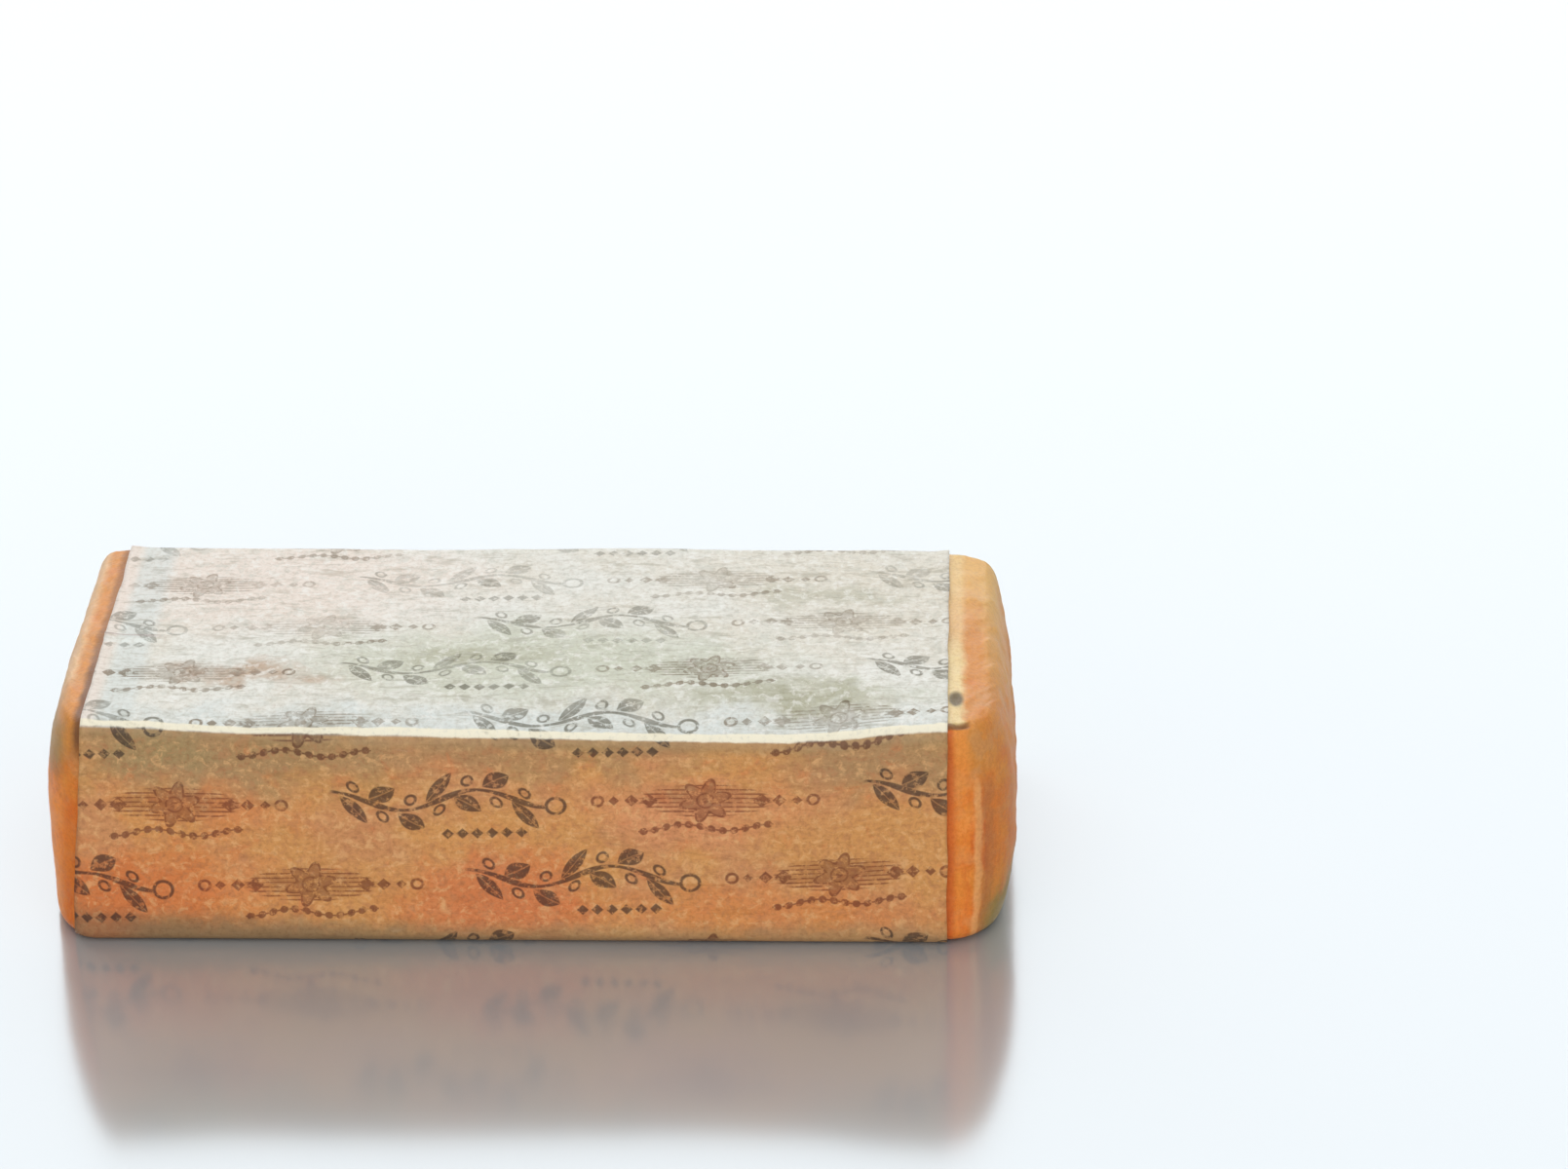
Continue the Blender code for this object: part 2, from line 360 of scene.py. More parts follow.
def wrinkles(across, along):
    """Height of the wrinkles, which run with the length of the block like the fibres of the paper."""
    fine = noise.noise(Vector((across / WRINKLE_LONG, along / WRINKLE_NARROW, 2.0)))
    broad = noise.noise(Vector((across / PUCKER_LENGTH, along / PUCKER_LENGTH, 5.0)))
    return WRINKLE_HEIGHT * max(0.0, fine + 0.1) + PUCKER_HEIGHT * max(0.0, broad)


def loose_edge(from_edge, along):
    """How far the side edges of the sheet stand off the rind, in uneven stretches."""
    near = smooth(1.0 - from_edge / EDGE_LIFT_REACH)
    uneven = noise.noise(Vector((along / LOOSE_LENGTH, from_edge * 8, 9.0)))
    return EDGE_LIFT * near * max(0.0, LOOSE_SHARE + uneven)


def crease(from_left, along):
    """A short crease that runs into the top from the sheet's left edge."""
    across = (along - FOLD_AT - CREASE_AT - from_left * CREASE_SLOPE) / CREASE_WIDTH
    return CREASE_HEIGHT * math.exp(-across * across) * smooth(1.0 - from_left / CREASE_REACH)


def sheet_lift(from_left, from_right, along):
    """Height of the sheet above the rind beyond its gap. It lies flat where the block stands on it."""
    off_base = smooth((along - FOOT_AT) / FLAT_PAST_FOOT)
    edges = loose_edge(min(from_left, from_right), along)
    return off_base * (wrinkles(from_left, along) + edges + crease(from_left, along))


print("the crease stands up by", round(crease(0.0, FOLD_AT + CREASE_AT) * 1000, 2), "mm")

# %% Build the sheet
SIDE_WAVE = 0.0003
SIDE_WAVE_LENGTH = 0.009


def sheet_left(y, z):
    """The sheet's left edge, which runs outwards down the front."""
    down = clamp((TOP - z) / (TOP - BASE), 0.0, 1.0)
    return PAPER_LEFT - PAPER_FLARE * down * smooth(1.0 - (y - FRONT) / DEPTH)


def sheet_point(share, step):
    """The point of the sheet at this share of its width and step of its path, and its flat place."""
    y, z = path[step]
    along = along_sheet[step]
    uneven = SIDE_WAVE * noise.noise(Vector((along / SIDE_WAVE_LENGTH, share * 3.0, 1.0)))
    left = sheet_left(y, z)
    x = left + (PAPER_RIGHT - left) * share + uneven
    lift = PAPER_GAP + sheet_lift(x - left, PAPER_RIGHT - x, along)
    point, outward, _ = rounded((x, y, z), lift)
    return settled(point + outward * relief(point, outward)), (x - PAPER_LEFT, along)


def mesh_from(name, shape):
    """Mesh data made from a bmesh, which is freed."""
    data = bpy.data.meshes.new(name)
    shape.to_mesh(data)
    shape.free()
    return data


def build_sheet():
    rows = len(path) - 1
    columns = round((PAPER_RIGHT - PAPER_LEFT) / SHEET_STEP)
    sheet = bmesh.new()
    bmesh.ops.create_grid(sheet, x_segments=columns, y_segments=rows, size=0.5)
    places = {}
    for vertex in sheet.verts:
        step = round((vertex.co.y + 0.5) * rows)
        vertex.co, places[vertex] = sheet_point(vertex.co.x + 0.5, step)
    flat = sheet.loops.layers.uv.new("sheet")
    for face in sheet.faces:
        face.smooth = True
        for loop in face.loops:
            loop[flat].uv = places[loop.vert]
    made = placed("wrapping_paper", mesh_from("wrapping_paper", sheet))
    solid = made.modifiers.new("Paper thickness", "SOLIDIFY")
    solid.thickness = PAPER_THICKNESS
    solid.offset = 1.0
    return made


wrapping_paper = build_sheet()
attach(wrapping_paper, "root")
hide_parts("paper_wrap")
print("sheet faces:", len(wrapping_paper.data.polygons))

# %% [markdown]
# ## The cheese
#
# Under the paper the rind is hidden, so it needs few faces there. The bare ends and the cut face need
# many. A box is cut into even cells, and only the cells that show are cut again. Then every point goes
# through the formulas of the form, with finer crags added where the rind is bare. Sculpting would be
# freer, but it can't be repeated.

# %% Cells of the plain block
CELL = 0.0024
END_CUTS = 3
CUT_FACE_CUTS = 2
COVERED_MARGIN = 0.0015
CUT_BORDER = CUT - 1e-6


def edges_along(block, axis):
    """The edges of the block that run along one axis: 0, 1 or 2."""
    return [e for e in block.edges if abs((e.verts[1].co - e.verts[0].co).normalized()[axis]) > 0.99]


def plain_block():
    """A box whose faces are cut into even cells."""
    block = bmesh.new()
    bmesh.ops.create_cube(block, size=1.0)
    low = Vector((-HALF_LENGTH, FRONT, BASE))
    high = Vector((HALF_LENGTH, CUT, TOP))
    bmesh.ops.scale(block, vec=high - low, verts=block.verts)
    bmesh.ops.translate(block, vec=(low + high) / 2, verts=block.verts)
    for axis in range(3):
        cuts = round((high - low)[axis] / CELL) - 1
        bmesh.ops.subdivide_edges(block, edges=edges_along(block, axis), cuts=cuts, use_grid_fill=True)
    return block


def is_cut_face(face):
    return all(vertex.co.y > CUT_BORDER for vertex in face.verts)


def is_bare_end(face):
    x = face.calc_center_median().x
    return x < PAPER_LEFT + COVERED_MARGIN or x > PAPER_RIGHT - COVERED_MARGIN


def refine(block, chosen, cuts):
    """Cuts the chosen cells again. Their neighbours take up the new points."""
    edges = {edge for face in block.faces if chosen(face) for edge in face.edges}
    bmesh.ops.subdivide_edges(block, edges=list(edges), cuts=cuts, use_grid_fill=True)


def split_uneven_cells(block):
    """Cells beside the finer ones have extra points. Triangles keep them from buckling."""
    bmesh.ops.triangulate(block, faces=[face for face in block.faces if len(face.verts) > 4])


block = plain_block()
refine(block, is_bare_end, END_CUTS)
refine(block, lambda face: is_cut_face(face) and not is_bare_end(face), CUT_FACE_CUTS)
split_uneven_cells(block)
print("cells of the block:", len(block.faces))

# %% Fine relief of the bare rind and of the cut face
KNOB_HEIGHT = 0.00030
KNOB_LENGTH = 0.0034
GRAIN_HEIGHT = 0.00011
GRAIN_LENGTH = 0.0014
RIDGE_AT = 0.0066
RIDGE_WIDTH = 0.0011
RIDGE_HEIGHT = 0.00055
RIDGE_TOP = 0.9 * TOP
RIDGE_FADE = 0.012
GROOVE_AT = 0.0014
GROOVE_WIDTH = 0.0008
GROOVE_DEPTH = 0.0008
GROOVE_REACH = 0.0072
GROOVE_FADE = 0.002
NICK_PLACE = Vector((PAPER_RIGHT + 0.0016, FRONT + 0.0125, TOP))
NICK_SIZE = 0.0011
NICK_STRETCH = 2.0
NICK_DEPTH = 0.0013
KNIFE_HEIGHT = 0.00022
KNIFE_DRAG = (0.006, 0.022)
KNIFE_CURD = (0.0026, 0.0022)


def past_paper(x, y, z):
    """How far a point lies outside the sheet's side edges."""
    return max(sheet_left(y, z) - x, x - PAPER_RIGHT)


def rind_grain(point):
    """Height of the fine wrinkles of the bare rind."""
    knobs = wave(point, KNOB_LENGTH, 4.2)
    folds = 1.0 - 2.0 * abs(wave(Vector((point.x, point.y, point.z * 0.6)), KNOB_LENGTH * 1.6, 8.3))
    return KNOB_HEIGHT * (0.6 * knobs + 0.4 * folds) + GRAIN_HEIGHT * wave(point, GRAIN_LENGTH, 1.9)


def ridge(point, bare):
    """An upright ridge that the edge of the paper once pressed into the right end."""
    if point.x < 0:
        return 0.0
    away = (bare - RIDGE_AT) / RIDGE_WIDTH
    low = smooth((RIDGE_TOP - point.z) / RIDGE_FADE)
    return RIDGE_HEIGHT * math.exp(-away * away) * low


def over_edge(point):
    """How far a point lies behind the long front edge of the top; below that edge it is negative."""
    return (point.y - FRONT) - (TOP - point.z)


def nick_distance(offset):
    """How far an offset leads away from the nick, which is longer from front to back than it is wide."""
    return Vector((offset.x, offset.y / NICK_STRETCH, offset.z)).length


def old_damage(point, bare):
    """A groove along the front edge of the top and a nick beside the paper, both at the right end."""
    if point.x < 0:
        return 0.0
    away = (over_edge(point) - GROOVE_AT) / GROOVE_WIDTH
    side = smooth((GROOVE_REACH - bare) / GROOVE_FADE)
    from_nick = nick_distance(point - NICK_PLACE) / NICK_SIZE
    groove = GROOVE_DEPTH * math.exp(-away * away) * side
    return -groove - NICK_DEPTH * math.exp(-from_nick * from_nick)


def knife_marks(point):
    """Shallow unevenness of the cut face, drawn out the way the knife went down."""
    drag = noise.noise(Vector((point.x / KNIFE_DRAG[0], point.z / KNIFE_DRAG[1], 3.0)))
    curd = noise.noise(Vector((point.x / KNIFE_CURD[0], point.z / KNIFE_CURD[1], 6.0)))
    return -KNIFE_HEIGHT * (0.6 * abs(drag) + 0.4 * abs(curd))


print("the nick lies at", [round(part * 1000, 1) for part in NICK_PLACE], "mm")

# %% Move every point of the block into place
BARE_FROM = 0.0005
BARE_FADE = 0.003
KNIFE_FADE = 0.003
SOFT_CORNER = 0.0050
SOFT_CORNER_FROM = 0.001
SOFT_CORNER_ROUNDS = 30


def under_rind(x, z):
    """How deep a point of the cut face lies under the nearest rind."""
    return min(x + HALF_LENGTH, HALF_LENGTH - x, z - BASE, TOP - z)


def is_left_corner(x, y, z):
    """True beside the left end of the fold, where the formulas leave a sharp edge."""
    return x < 0 and past_paper(x, y, z) > SOFT_CORNER_FROM and max(y - FRONT, TOP - z) < SOFT_CORNER


def soften(block, points):
    """Moves points towards the middle of their neighbours, round after round."""
    for _ in range(SOFT_CORNER_ROUNDS):
        bmesh.ops.smooth_vert(
            block, verts=points, factor=0.5, use_axis_x=True, use_axis_y=True, use_axis_z=True,
        )


def shape_block(block):
    """Bends the plain block into the cheese, and notes on each point what its colour depends on."""
    outside = block.verts.layers.float.new("past_paper")
    depth = block.verts.layers.float.new("under_rind")
    grain = block.verts.layers.float.new("grain")
    behind = block.verts.layers.float.new("over_edge")
    corner = [vertex for vertex in block.verts if is_left_corner(*vertex.co)]
    for face in block.faces:
        face.material_index = 1 if is_cut_face(face) else 0
        face.smooth = True
    for vertex in block.verts:
        x, y, z = vertex.co
        bare = past_paper(x, y, z)
        vertex[outside] = bare
        vertex[depth] = under_rind(x, z) if y > CUT_BORDER else 0.0
        point, outward, share = rounded(vertex.co, 0.0)
        fine = rind_grain(point)
        vertex[grain] = fine / KNOB_HEIGHT
        vertex[behind] = over_edge(point)
        uncovered = smooth((bare - BARE_FROM) / BARE_FADE) * smooth((z - BASE) / EDGE_RADIUS)
        marks = ridge(point, bare) + old_damage(point, bare)
        height = relief(point, outward) + (fine + marks) * uncovered
        moved = settled(point + outward * height * share)
        moved.y += knife_marks(point) * smooth(vertex[depth] / KNIFE_FADE)
        vertex.co = moved
    soften(block, corner)


shape_block(block)
cheese = placed("cheese", mesh_from("cheese", block))
print("points of the cheese:", len(cheese.data.vertices))

# %% [markdown]
# ## The eyes of the paste
#
# This cheese has few eyes, small bubbles that the knife opened. They could be painted, but a pit
# catches the light as paint can't. So a set of uneven bubbles is cut out of the face with a Boolean
# modifier, which is then applied. The random draws have a fixed seed, so the eyes are the same each
# time.

# %% Places and shapes of the eyes
EYE_SEED = 11
EYE_COUNT = 18
EYE_RADIUS_SMALL = 0.0005
EYE_RADIUS_LARGE = 0.0014
EYE_MARGIN = 0.006
EYE_SPACING = 0.006
DEEP_INSIDE = 0.02
EYE_SHADE_DEPTH = 0.0009
EYE_SMALLNESS = 2.2
EYE_DENTS = (0.85, 1.12)
EYE_STRETCH = ((1.0, 1.6), (0.8, 1.1), (0.6, 0.95))
EYE_TILT = 0.5
EYE_OUTWARDS = (-0.2, 0.25)


def eye_places(draw):
    """Places on the cut face, no two closer than the spacing, and a radius for each."""
    places = []
    while len(places) < EYE_COUNT:
        x = draw.uniform(PAPER_LEFT + EYE_MARGIN, PAPER_RIGHT - EYE_MARGIN)
        z = draw.uniform(BASE + EYE_MARGIN, TOP - EYE_MARGIN)
        size = draw.random() ** EYE_SMALLNESS
        radius = EYE_RADIUS_SMALL + (EYE_RADIUS_LARGE - EYE_RADIUS_SMALL) * size
        if all(math.hypot(x - p[0], z - p[1]) > EYE_SPACING for p in places):
            places.append((x, z, radius))
    return places


def bubble(radius, draw):
    """A small uneven bubble."""
    ball = bmesh.new()
    bmesh.ops.create_icosphere(ball, subdivisions=2, radius=radius)
    for vertex in ball.verts:
        vertex.co *= draw.uniform(*EYE_DENTS)
    stretch = [draw.uniform(*limits) for limits in EYE_STRETCH]
    bmesh.ops.scale(ball, vec=stretch, verts=ball.verts)
    for face in ball.faces:
        face.smooth = True
    return mesh_from("eye", ball)


def make_eyes(collection):
    draw = random.Random(EYE_SEED)
    for x, z, radius in eye_places(draw):
        eye = bpy.data.objects.new("eye", bubble(radius, draw))
        eye.rotation_euler = Euler((0.0, draw.uniform(-EYE_TILT, EYE_TILT), 0.0))
        eye.location = (x, CUT + radius * draw.uniform(*EYE_OUTWARDS), z)
        collection.objects.link(eye)


print("eyes to cut:", EYE_COUNT)

# %% [markdown]
# ## Shader maths as formulas
#
# Every finish below is built from nodes. A node tree written link by link is hard to read, so one small
# class wraps a socket and lets Python's own signs add the Math nodes: mask * 0.5 adds a Multiply node.
# All other nodes come from one method that takes the kind of node, its settings and what goes into its
# sockets.

# %% A socket that can be used in a formula
class Wire:
    """One output socket of a finish, for use in formulas of plain numbers."""

    def __init__(self, finish, socket):
        self.finish = finish
        self.socket = socket

    def maths(self, operation, first, second):
        return self.finish.node("Math", {"operation": operation}, {0: first, 1: second})

    def __add__(self, other):
        return self.maths("ADD", self, other)

    def __radd__(self, other):
        return self.maths("ADD", other, self)

    def __sub__(self, other):
        return self.maths("SUBTRACT", self, other)

    def __rsub__(self, other):
        return self.maths("SUBTRACT", other, self)

    def __mul__(self, other):
        return self.maths("MULTIPLY", self, other)

    def __rmul__(self, other):
        return self.maths("MULTIPLY", other, self)

    def __truediv__(self, other):
        return self.maths("DIVIDE", self, other)

    def __rtruediv__(self, other):
        return self.maths("DIVIDE", other, self)

    def __mod__(self, other):
        return self.maths("MODULO", self, other)

    def __rmod__(self, other):
        return self.maths("MODULO", other, self)

    def __abs__(self):
        return self.maths("ABSOLUTE", self, 0.0)


print("signs that add a Math node: + - * / % and abs")

# %% A finish, which is a set of nodes
class Finish:
    """Nodes that are built up one by one, on a material or for the light of the room."""

    def __init__(self, owner):
        self.owner = owner
        self.owner.use_nodes = True
        self.tree = owner.node_tree
        self.tree.nodes.clear()

    def node(self, kind, settings=None, sockets=None, output=0):
        """Adds a node, sets it, fills its sockets by number or name, and returns one of its outputs."""
        made = self.tree.nodes.new("ShaderNode" + kind)
        for name, value in (settings or {}).items():
            setattr(made, name, value)
        for key, value in (sockets or {}).items():
            self.fill(self.find(made.inputs, key), value)
        return Wire(self, self.find(made.outputs, output))

    def find(self, sockets, key):
        if isinstance(key, int):
            return sockets[key]
        return next(socket for socket in sockets if key in (socket.identifier, socket.name))

    def fill(self, socket, value):
        if isinstance(value, Wire):
            self.tree.links.new(value.socket, socket)
        elif socket.type == "RGBA":
            socket.default_value = (*value, 1.0)
        else:
            socket.default_value = value

    def done(self, shader, kind="OutputMaterial"):
        """Links the shader to the output node."""
        output = self.tree.nodes.new("ShaderNode" + kind)
        self.tree.links.new(shader.socket, output.inputs["Surface"])
        print(self.owner.name, "has", len(self.tree.nodes), "nodes")
        return self.owner

    def function(self, operation, value, second=0.0):
        """A Math node that has no sign in Python, such as SINE or FLOOR."""
        return self.node("Math", {"operation": operation}, {0: value, 1: second})

    def step(self, value, low, high):
        """A soft step from 0 to 1 while value goes from low to high."""
        settings = {"interpolation_type": "SMOOTHSTEP"}
        return self.node("MapRange", settings, {"Value": value, "From Min": low, "From Max": high})

    def band(self, value, middle, half_width, soft):
        """1 where the value lies within the half width of the middle, with soft borders."""
        return self.step(abs(value - middle), half_width + soft, half_width)

    def distance(self, x, y):
        """The length of the line from the origin to x, y."""
        return self.function("SQRT", x * x + y * y)

    def mix(self, factor, first, second, blend="MIX"):
        """A colour between two others, or the two blended in another way."""
        settings = {"data_type": "RGBA", "blend_type": blend}
        sockets = {"Factor_Float": factor, "A_Color": first, "B_Color": second}
        return self.node("Mix", settings, sockets, "Result_Color")

    def coats(self, colour, layers, within=None):
        """Lays tints over a colour in turn, each where its own mask and the common one are 1."""
        for mask, tint in layers:
            factor = mask if within is None else mask * within
            colour = self.mix(factor, colour, tint)
        return colour

    def vector(self, x, y, z):
        return self.node("CombineXYZ", {}, {0: x, 1: y, 2: z})

    def noise(self, place, scale, detail=2.0, roughness=0.5, distortion=0.0):
        """Soft noise from 0 to 1. The scale is in cells to a unit of the place that is given."""
        sockets = {
            "Vector": place, "Scale": scale, "Detail": detail,
            "Roughness": roughness, "Distortion": distortion,
        }
        return self.node("TexNoise", {"noise_dimensions": "3D"}, sockets)

    def attribute(self, name):
        """A number that the mesh keeps on its points."""
        return self.node("Attribute", {"attribute_name": name}, {}, "Fac")


print("formulas ready: 1 - mask adds a Subtract node")

# %% [markdown]
# ## The rind
#
# The rind is washed with brine as it ripens, which turns it orange below and tan where it has dried. It
# is moist, a little glossy, and mottled on every scale, with paler bloom on the crags. One noise could
# tint it, but a real rind changes by place: paler towards the top, and olive and grey near the foot. So
# masks from the height and from the points' own notes steer the colours, and each mask lays one more
# tint over those before it. Some masks paint light and shade as colour: a painted shadow along the
# paper's edge, painted highlights on the rims, beside the paper and on the ridge, and painted shade in
# the groove, the nick, the hollow and a red line on the front.

# %% Colours of the rind
# Cream and pale are painted highlights, and brown, dull and nick are painted shade; buff, bloom and deep
# are rind colours that also paint a highlight or shade in the marks below
RIND_ORANGE = (0.74, 0.170, 0.014)
RIND_GOLD = (0.74, 0.235, 0.026)
RIND_DEEP = (0.62, 0.100, 0.008)
RIND_TAN = (0.72, 0.280, 0.050)
RIND_HIGHLIGHT_CREAM = (0.88, 0.680, 0.340)
RIND_BUFF = (0.82, 0.500, 0.165)
RIND_RIM_HIGHLIGHT = (0.90, 0.700, 0.430)
RIND_SHADE_BROWN = (0.22, 0.085, 0.026)
RIND_SHADE_DULL = (0.47, 0.180, 0.055)
RIND_OLIVE = (0.29, 0.220, 0.055)
RIND_BLOOM = (0.82, 0.375, 0.125)
RIND_BRIGHT = (0.98, 0.310, 0.045)
RIND_DRY = (0.64, 0.320, 0.120)
RIND_NICK_SHADE = (0.12, 0.080, 0.035)
RIND_SHADE = (0.74, 0.62, 0.50)
MM = 1000.0


def rind_places(finish):
    """Coordinates in millimetres: the place itself, and its x, y and z."""
    spot = finish.node("TexCoord", {}, {}, "Object")
    place = finish.node("VectorMath", {"operation": "SCALE"}, {"Vector": spot, "Scale": MM})
    parts = [finish.node("SeparateXYZ", {}, {0: place}, axis) for axis in "XYZ"]
    return place, *parts


def rind_ground(finish, place, x, y, z):
    """Orange and gold in upright streaks, going over to tan towards the top."""
    blotch = finish.noise(place, 0.11, 3.0, 0.55)
    streak = finish.noise(finish.vector(x * 0.40, y * 0.40, z * 0.07), 1.0, 3.0, 0.6)
    high = finish.step(z + (blotch - 0.5) * 30.0 + (streak - 0.5) * 10.0, 27.0, 50.0)
    colour = finish.coats(RIND_ORANGE, (
        (finish.step(blotch, 0.42, 0.60), RIND_GOLD),
        (finish.step(streak, 0.50, 0.66) * 0.8, RIND_DEEP),
        (high, RIND_TAN),
    ))
    return colour, blotch


print("the rind goes from", RIND_ORANGE, "at the foot to", RIND_TAN, "at the top")

# %% Marks that the wrapping has left on each end
def right_marks(finish, outside, y, z, patch):
    """Painted highlights beside the paper on the top, on the rim and on the ridge, orange on the front
    with a red line of painted shade beside the paper, and painted shade in the hollow and the groove.
    """
    uneven = (patch - 0.5) * 6.0
    behind = finish.attribute("over_edge") * MM
    below = finish.step(behind, 1.6, 0.0)
    low = finish.step(z + uneven * 2.0, 42.0, 34.0)
    back = finish.step(y + uneven * 3.0, 2.0, 34.0) * finish.step(z, 42.0, 47.0)
    # Painted highlight along the outer rim of the right end
    rim = finish.step(outside + uneven * 0.5, 9.5, 13.5) * finish.step(z + uneven * 1.5, 24.0, 40.0)
    rim = rim * finish.step(y + uneven * 2.0, -24.0, 4.0)
    # Painted highlight on the top of the rind beside the paper
    cream = finish.step(outside + uneven * 0.6, 6.4, 3.0) * finish.step(behind, 1.0, 2.0)
    cream = cream * (0.50 + finish.step(y, 8.0, -8.0) * 0.45)
    bright = finish.step(outside + uneven * 0.4, 6.4, 4.0) * below
    # A red line of painted shade beside the paper's edge on the front
    red = finish.step(outside + uneven * 0.2, 2.6, 0.7) * below
    # Painted highlight on the ridge, and painted shade in the hollow beside it
    ridge_highlight = finish.band(outside + uneven * 0.25, RIDGE_AT * MM, 0.3, 0.9) * low
    hollow = finish.band(outside + uneven * 0.4, RIDGE_AT * MM + 2.2, 0.6, 1.2) * low
    # Painted shade in the groove along the front edge of the top
    groove = finish.band(behind + uneven * 0.15, GROOVE_AT * MM, 0.6, 1.0)
    groove = groove * finish.step(outside + uneven * 0.3, GROOVE_REACH * MM, GROOVE_REACH * MM - 2.4)
    return (
        (back * 0.80, RIND_BUFF),
        (rim * 0.50, RIND_BUFF),
        (cream, RIND_HIGHLIGHT_CREAM),
        (bright * 0.45, RIND_BRIGHT),
        (red * 0.70, RIND_DEEP),
        (finish.step(outside, 7.0, 11.0) * low * 0.45, RIND_TAN),
        (ridge_highlight * 0.85, RIND_BLOOM),
        (hollow * 0.55, RIND_SHADE_DULL),
        (groove * 0.85, RIND_SHADE_BROWN),
    )


def left_marks(finish, outside, y, z, patch):
    """A brown line of painted shadow beside the paper, a painted highlight on the outer rim, and olive
    over gold on the front corner.
    """
    uneven = (patch - 0.5) * 6.0
    low = finish.step(z + uneven * 2.5, 39.0, 29.0) * finish.step(y + uneven * 5.0, 2.0, -20.0)
    # Painted shadow: a brown line where the paper's edge meets the rind
    brown = finish.step(outside + uneven * 0.5, 4.2, 1.4) * finish.step(z, 40.0, 47.0)
    brown = brown * (0.58 + finish.step(y, 10.0, -20.0) * 0.37)
    # Painted highlight on the pale outer rim of the left end
    rim = finish.step(outside + uneven * 0.5, 5.6, 9.0) * finish.step(z + uneven * 2.0, 36.0, 46.0)
    rim = rim * finish.step(y + uneven * 2.0, -34.0, -10.0)
    olive = finish.step(outside, 3.0, 7.0) * finish.band(z + uneven * 1.5, 41.0, 1.5, 8.0)
    olive = olive * finish.step(y + uneven * 4.0, 2.0, -26.0)
    bright = finish.step(outside, 1.6, 4.6) * (0.95 - finish.step(patch, 0.50, 0.64) * 0.40)
    return (
        (brown, RIND_SHADE_BROWN),
        (rim * 0.50, RIND_RIM_HIGHLIGHT),
        (olive * 0.60, RIND_OLIVE),
        (finish.step(outside + uneven * 0.5, 6.0, 2.0) * low * 0.60, RIND_ORANGE),
        (bright * low, RIND_BRIGHT),
    )


print("bare rind beside the paper in mm:", [margin * MM for margin in (LEFT_MARGIN, RIGHT_MARGIN)])

# %% Olive at the foot, the painted shade of the nick, and all the coats of the rind
def olive_foot(finish, outside, x, y, z, blotch, patch, dry):
    """Olive at the foot of the ends, weaker towards the back and at the left end."""
    low = finish.step(z + (blotch - 0.5) * 24.0 + (patch - 0.5) * 10.0, 18.0, 4.0)
    towards_back = finish.step(y + (dry - 0.5) * 90.0, -14.0, 8.0)
    low = low * finish.step(outside, 6.5, 11.0) * (1.0 - towards_back * 0.75)
    return low * (0.3 + finish.step(x, 0.0, 10.0) * 0.6)


def nick_mask(finish, place):
    """1 in the nick, where the rind is painted dark as painted shade, and nothing around it."""
    offset = finish.node("VectorMath", {"operation": "SUBTRACT"}, {0: place, 1: NICK_PLACE * MM})
    squeeze = (1.0, 1.0 / NICK_STRETCH, 1.0)
    offset = finish.node("VectorMath", {"operation": "MULTIPLY"}, {0: offset, 1: squeeze})
    away = finish.node("VectorMath", {"operation": "LENGTH"}, {0: offset}, "Value")
    return finish.step(away, 2.0, 1.0)


def rind_colour(finish, place, x, y, z):
    """The ground, the bloom on the crags, the marks of each end with their painted light and shade, the
    olive at the foot and the painted shade of the nick.
    """
    outside = finish.attribute("past_paper") * MM
    grain = finish.attribute("grain")
    patch = finish.noise(place, 0.30, 3.0, 0.6)
    mottle = finish.noise(place, 1.3, 4.0, 0.65)
    dry = finish.noise(place, 0.17, 4.0, 0.62)
    bloom = finish.step(grain + (mottle - 0.5) * 1.6, 0.25, 1.1)
    colour, blotch = rind_ground(finish, place, x, y, z)
    colour = finish.coats(colour, (
        (finish.step(dry, 0.50, 0.64) * 0.42, RIND_DRY),
        (bloom * 0.40, RIND_BLOOM),
    ))
    colour = finish.coats(colour, right_marks(finish, outside, y, z, patch), finish.step(x, 0.0, 10.0))
    colour = finish.coats(colour, left_marks(finish, outside, y, z, patch), finish.step(x, 0.0, -10.0))
    colour = finish.coats(colour, (
        (olive_foot(finish, outside, x, y, z, blotch, patch, dry), RIND_OLIVE),
        # Painted shade in the nick
        (nick_mask(finish, place) * 0.90, RIND_NICK_SHADE),
    ))
    dark = finish.mix(1.0, colour, RIND_SHADE, "MULTIPLY")
    return finish.mix(finish.step(mottle, 0.60, 0.36) * 0.40, colour, dark), mottle, bloom


print("the nick is", NICK_STRETCH, "times as long as it is wide")

# %% Assemble the finish of the rind
def make_rind():
    finish = Finish(bpy.data.materials.new("washed rind"))
    place, x, y, z = rind_places(finish)
    colour, mottle, bloom = rind_colour(finish, place, x, y, z)
    pores = finish.noise(place, 3.4, 3.0, 0.6)
    height = mottle * 0.5 + pores * 0.35
    bump = finish.node("Bump", {}, {"Strength": 0.6, "Distance": 0.0004, "Height": height})
    shader = finish.node("BsdfPrincipled", {}, {
        "Base Color": colour,
        "Roughness": 0.42 + bloom * 0.22 + (mottle - 0.5) * 0.2,
        "Normal": bump,
        "Subsurface Weight": 0.12,
        "Subsurface Radius": (0.9, 0.4, 0.15),
        "Subsurface Scale": 0.002,
        "Specular IOR Level": 0.32,
    })
    return finish.done(shader)


rind = make_rind()

# %% [markdown]
# ## The paste
#
# The cut paste is pale cream, a little yellower under the rind, with a thin tan line where it meets the
# rind. It ripens from the outside in, so the colour follows the depth under the rind that each point
# was given above. The knife leaves a matt, slightly smeared surface with pinholes too small to model,
# and those are left to the nodes, which paint them as small dark spots of painted shade. The pits of
# the eyes are painted darker with depth as well, which is painted shade.

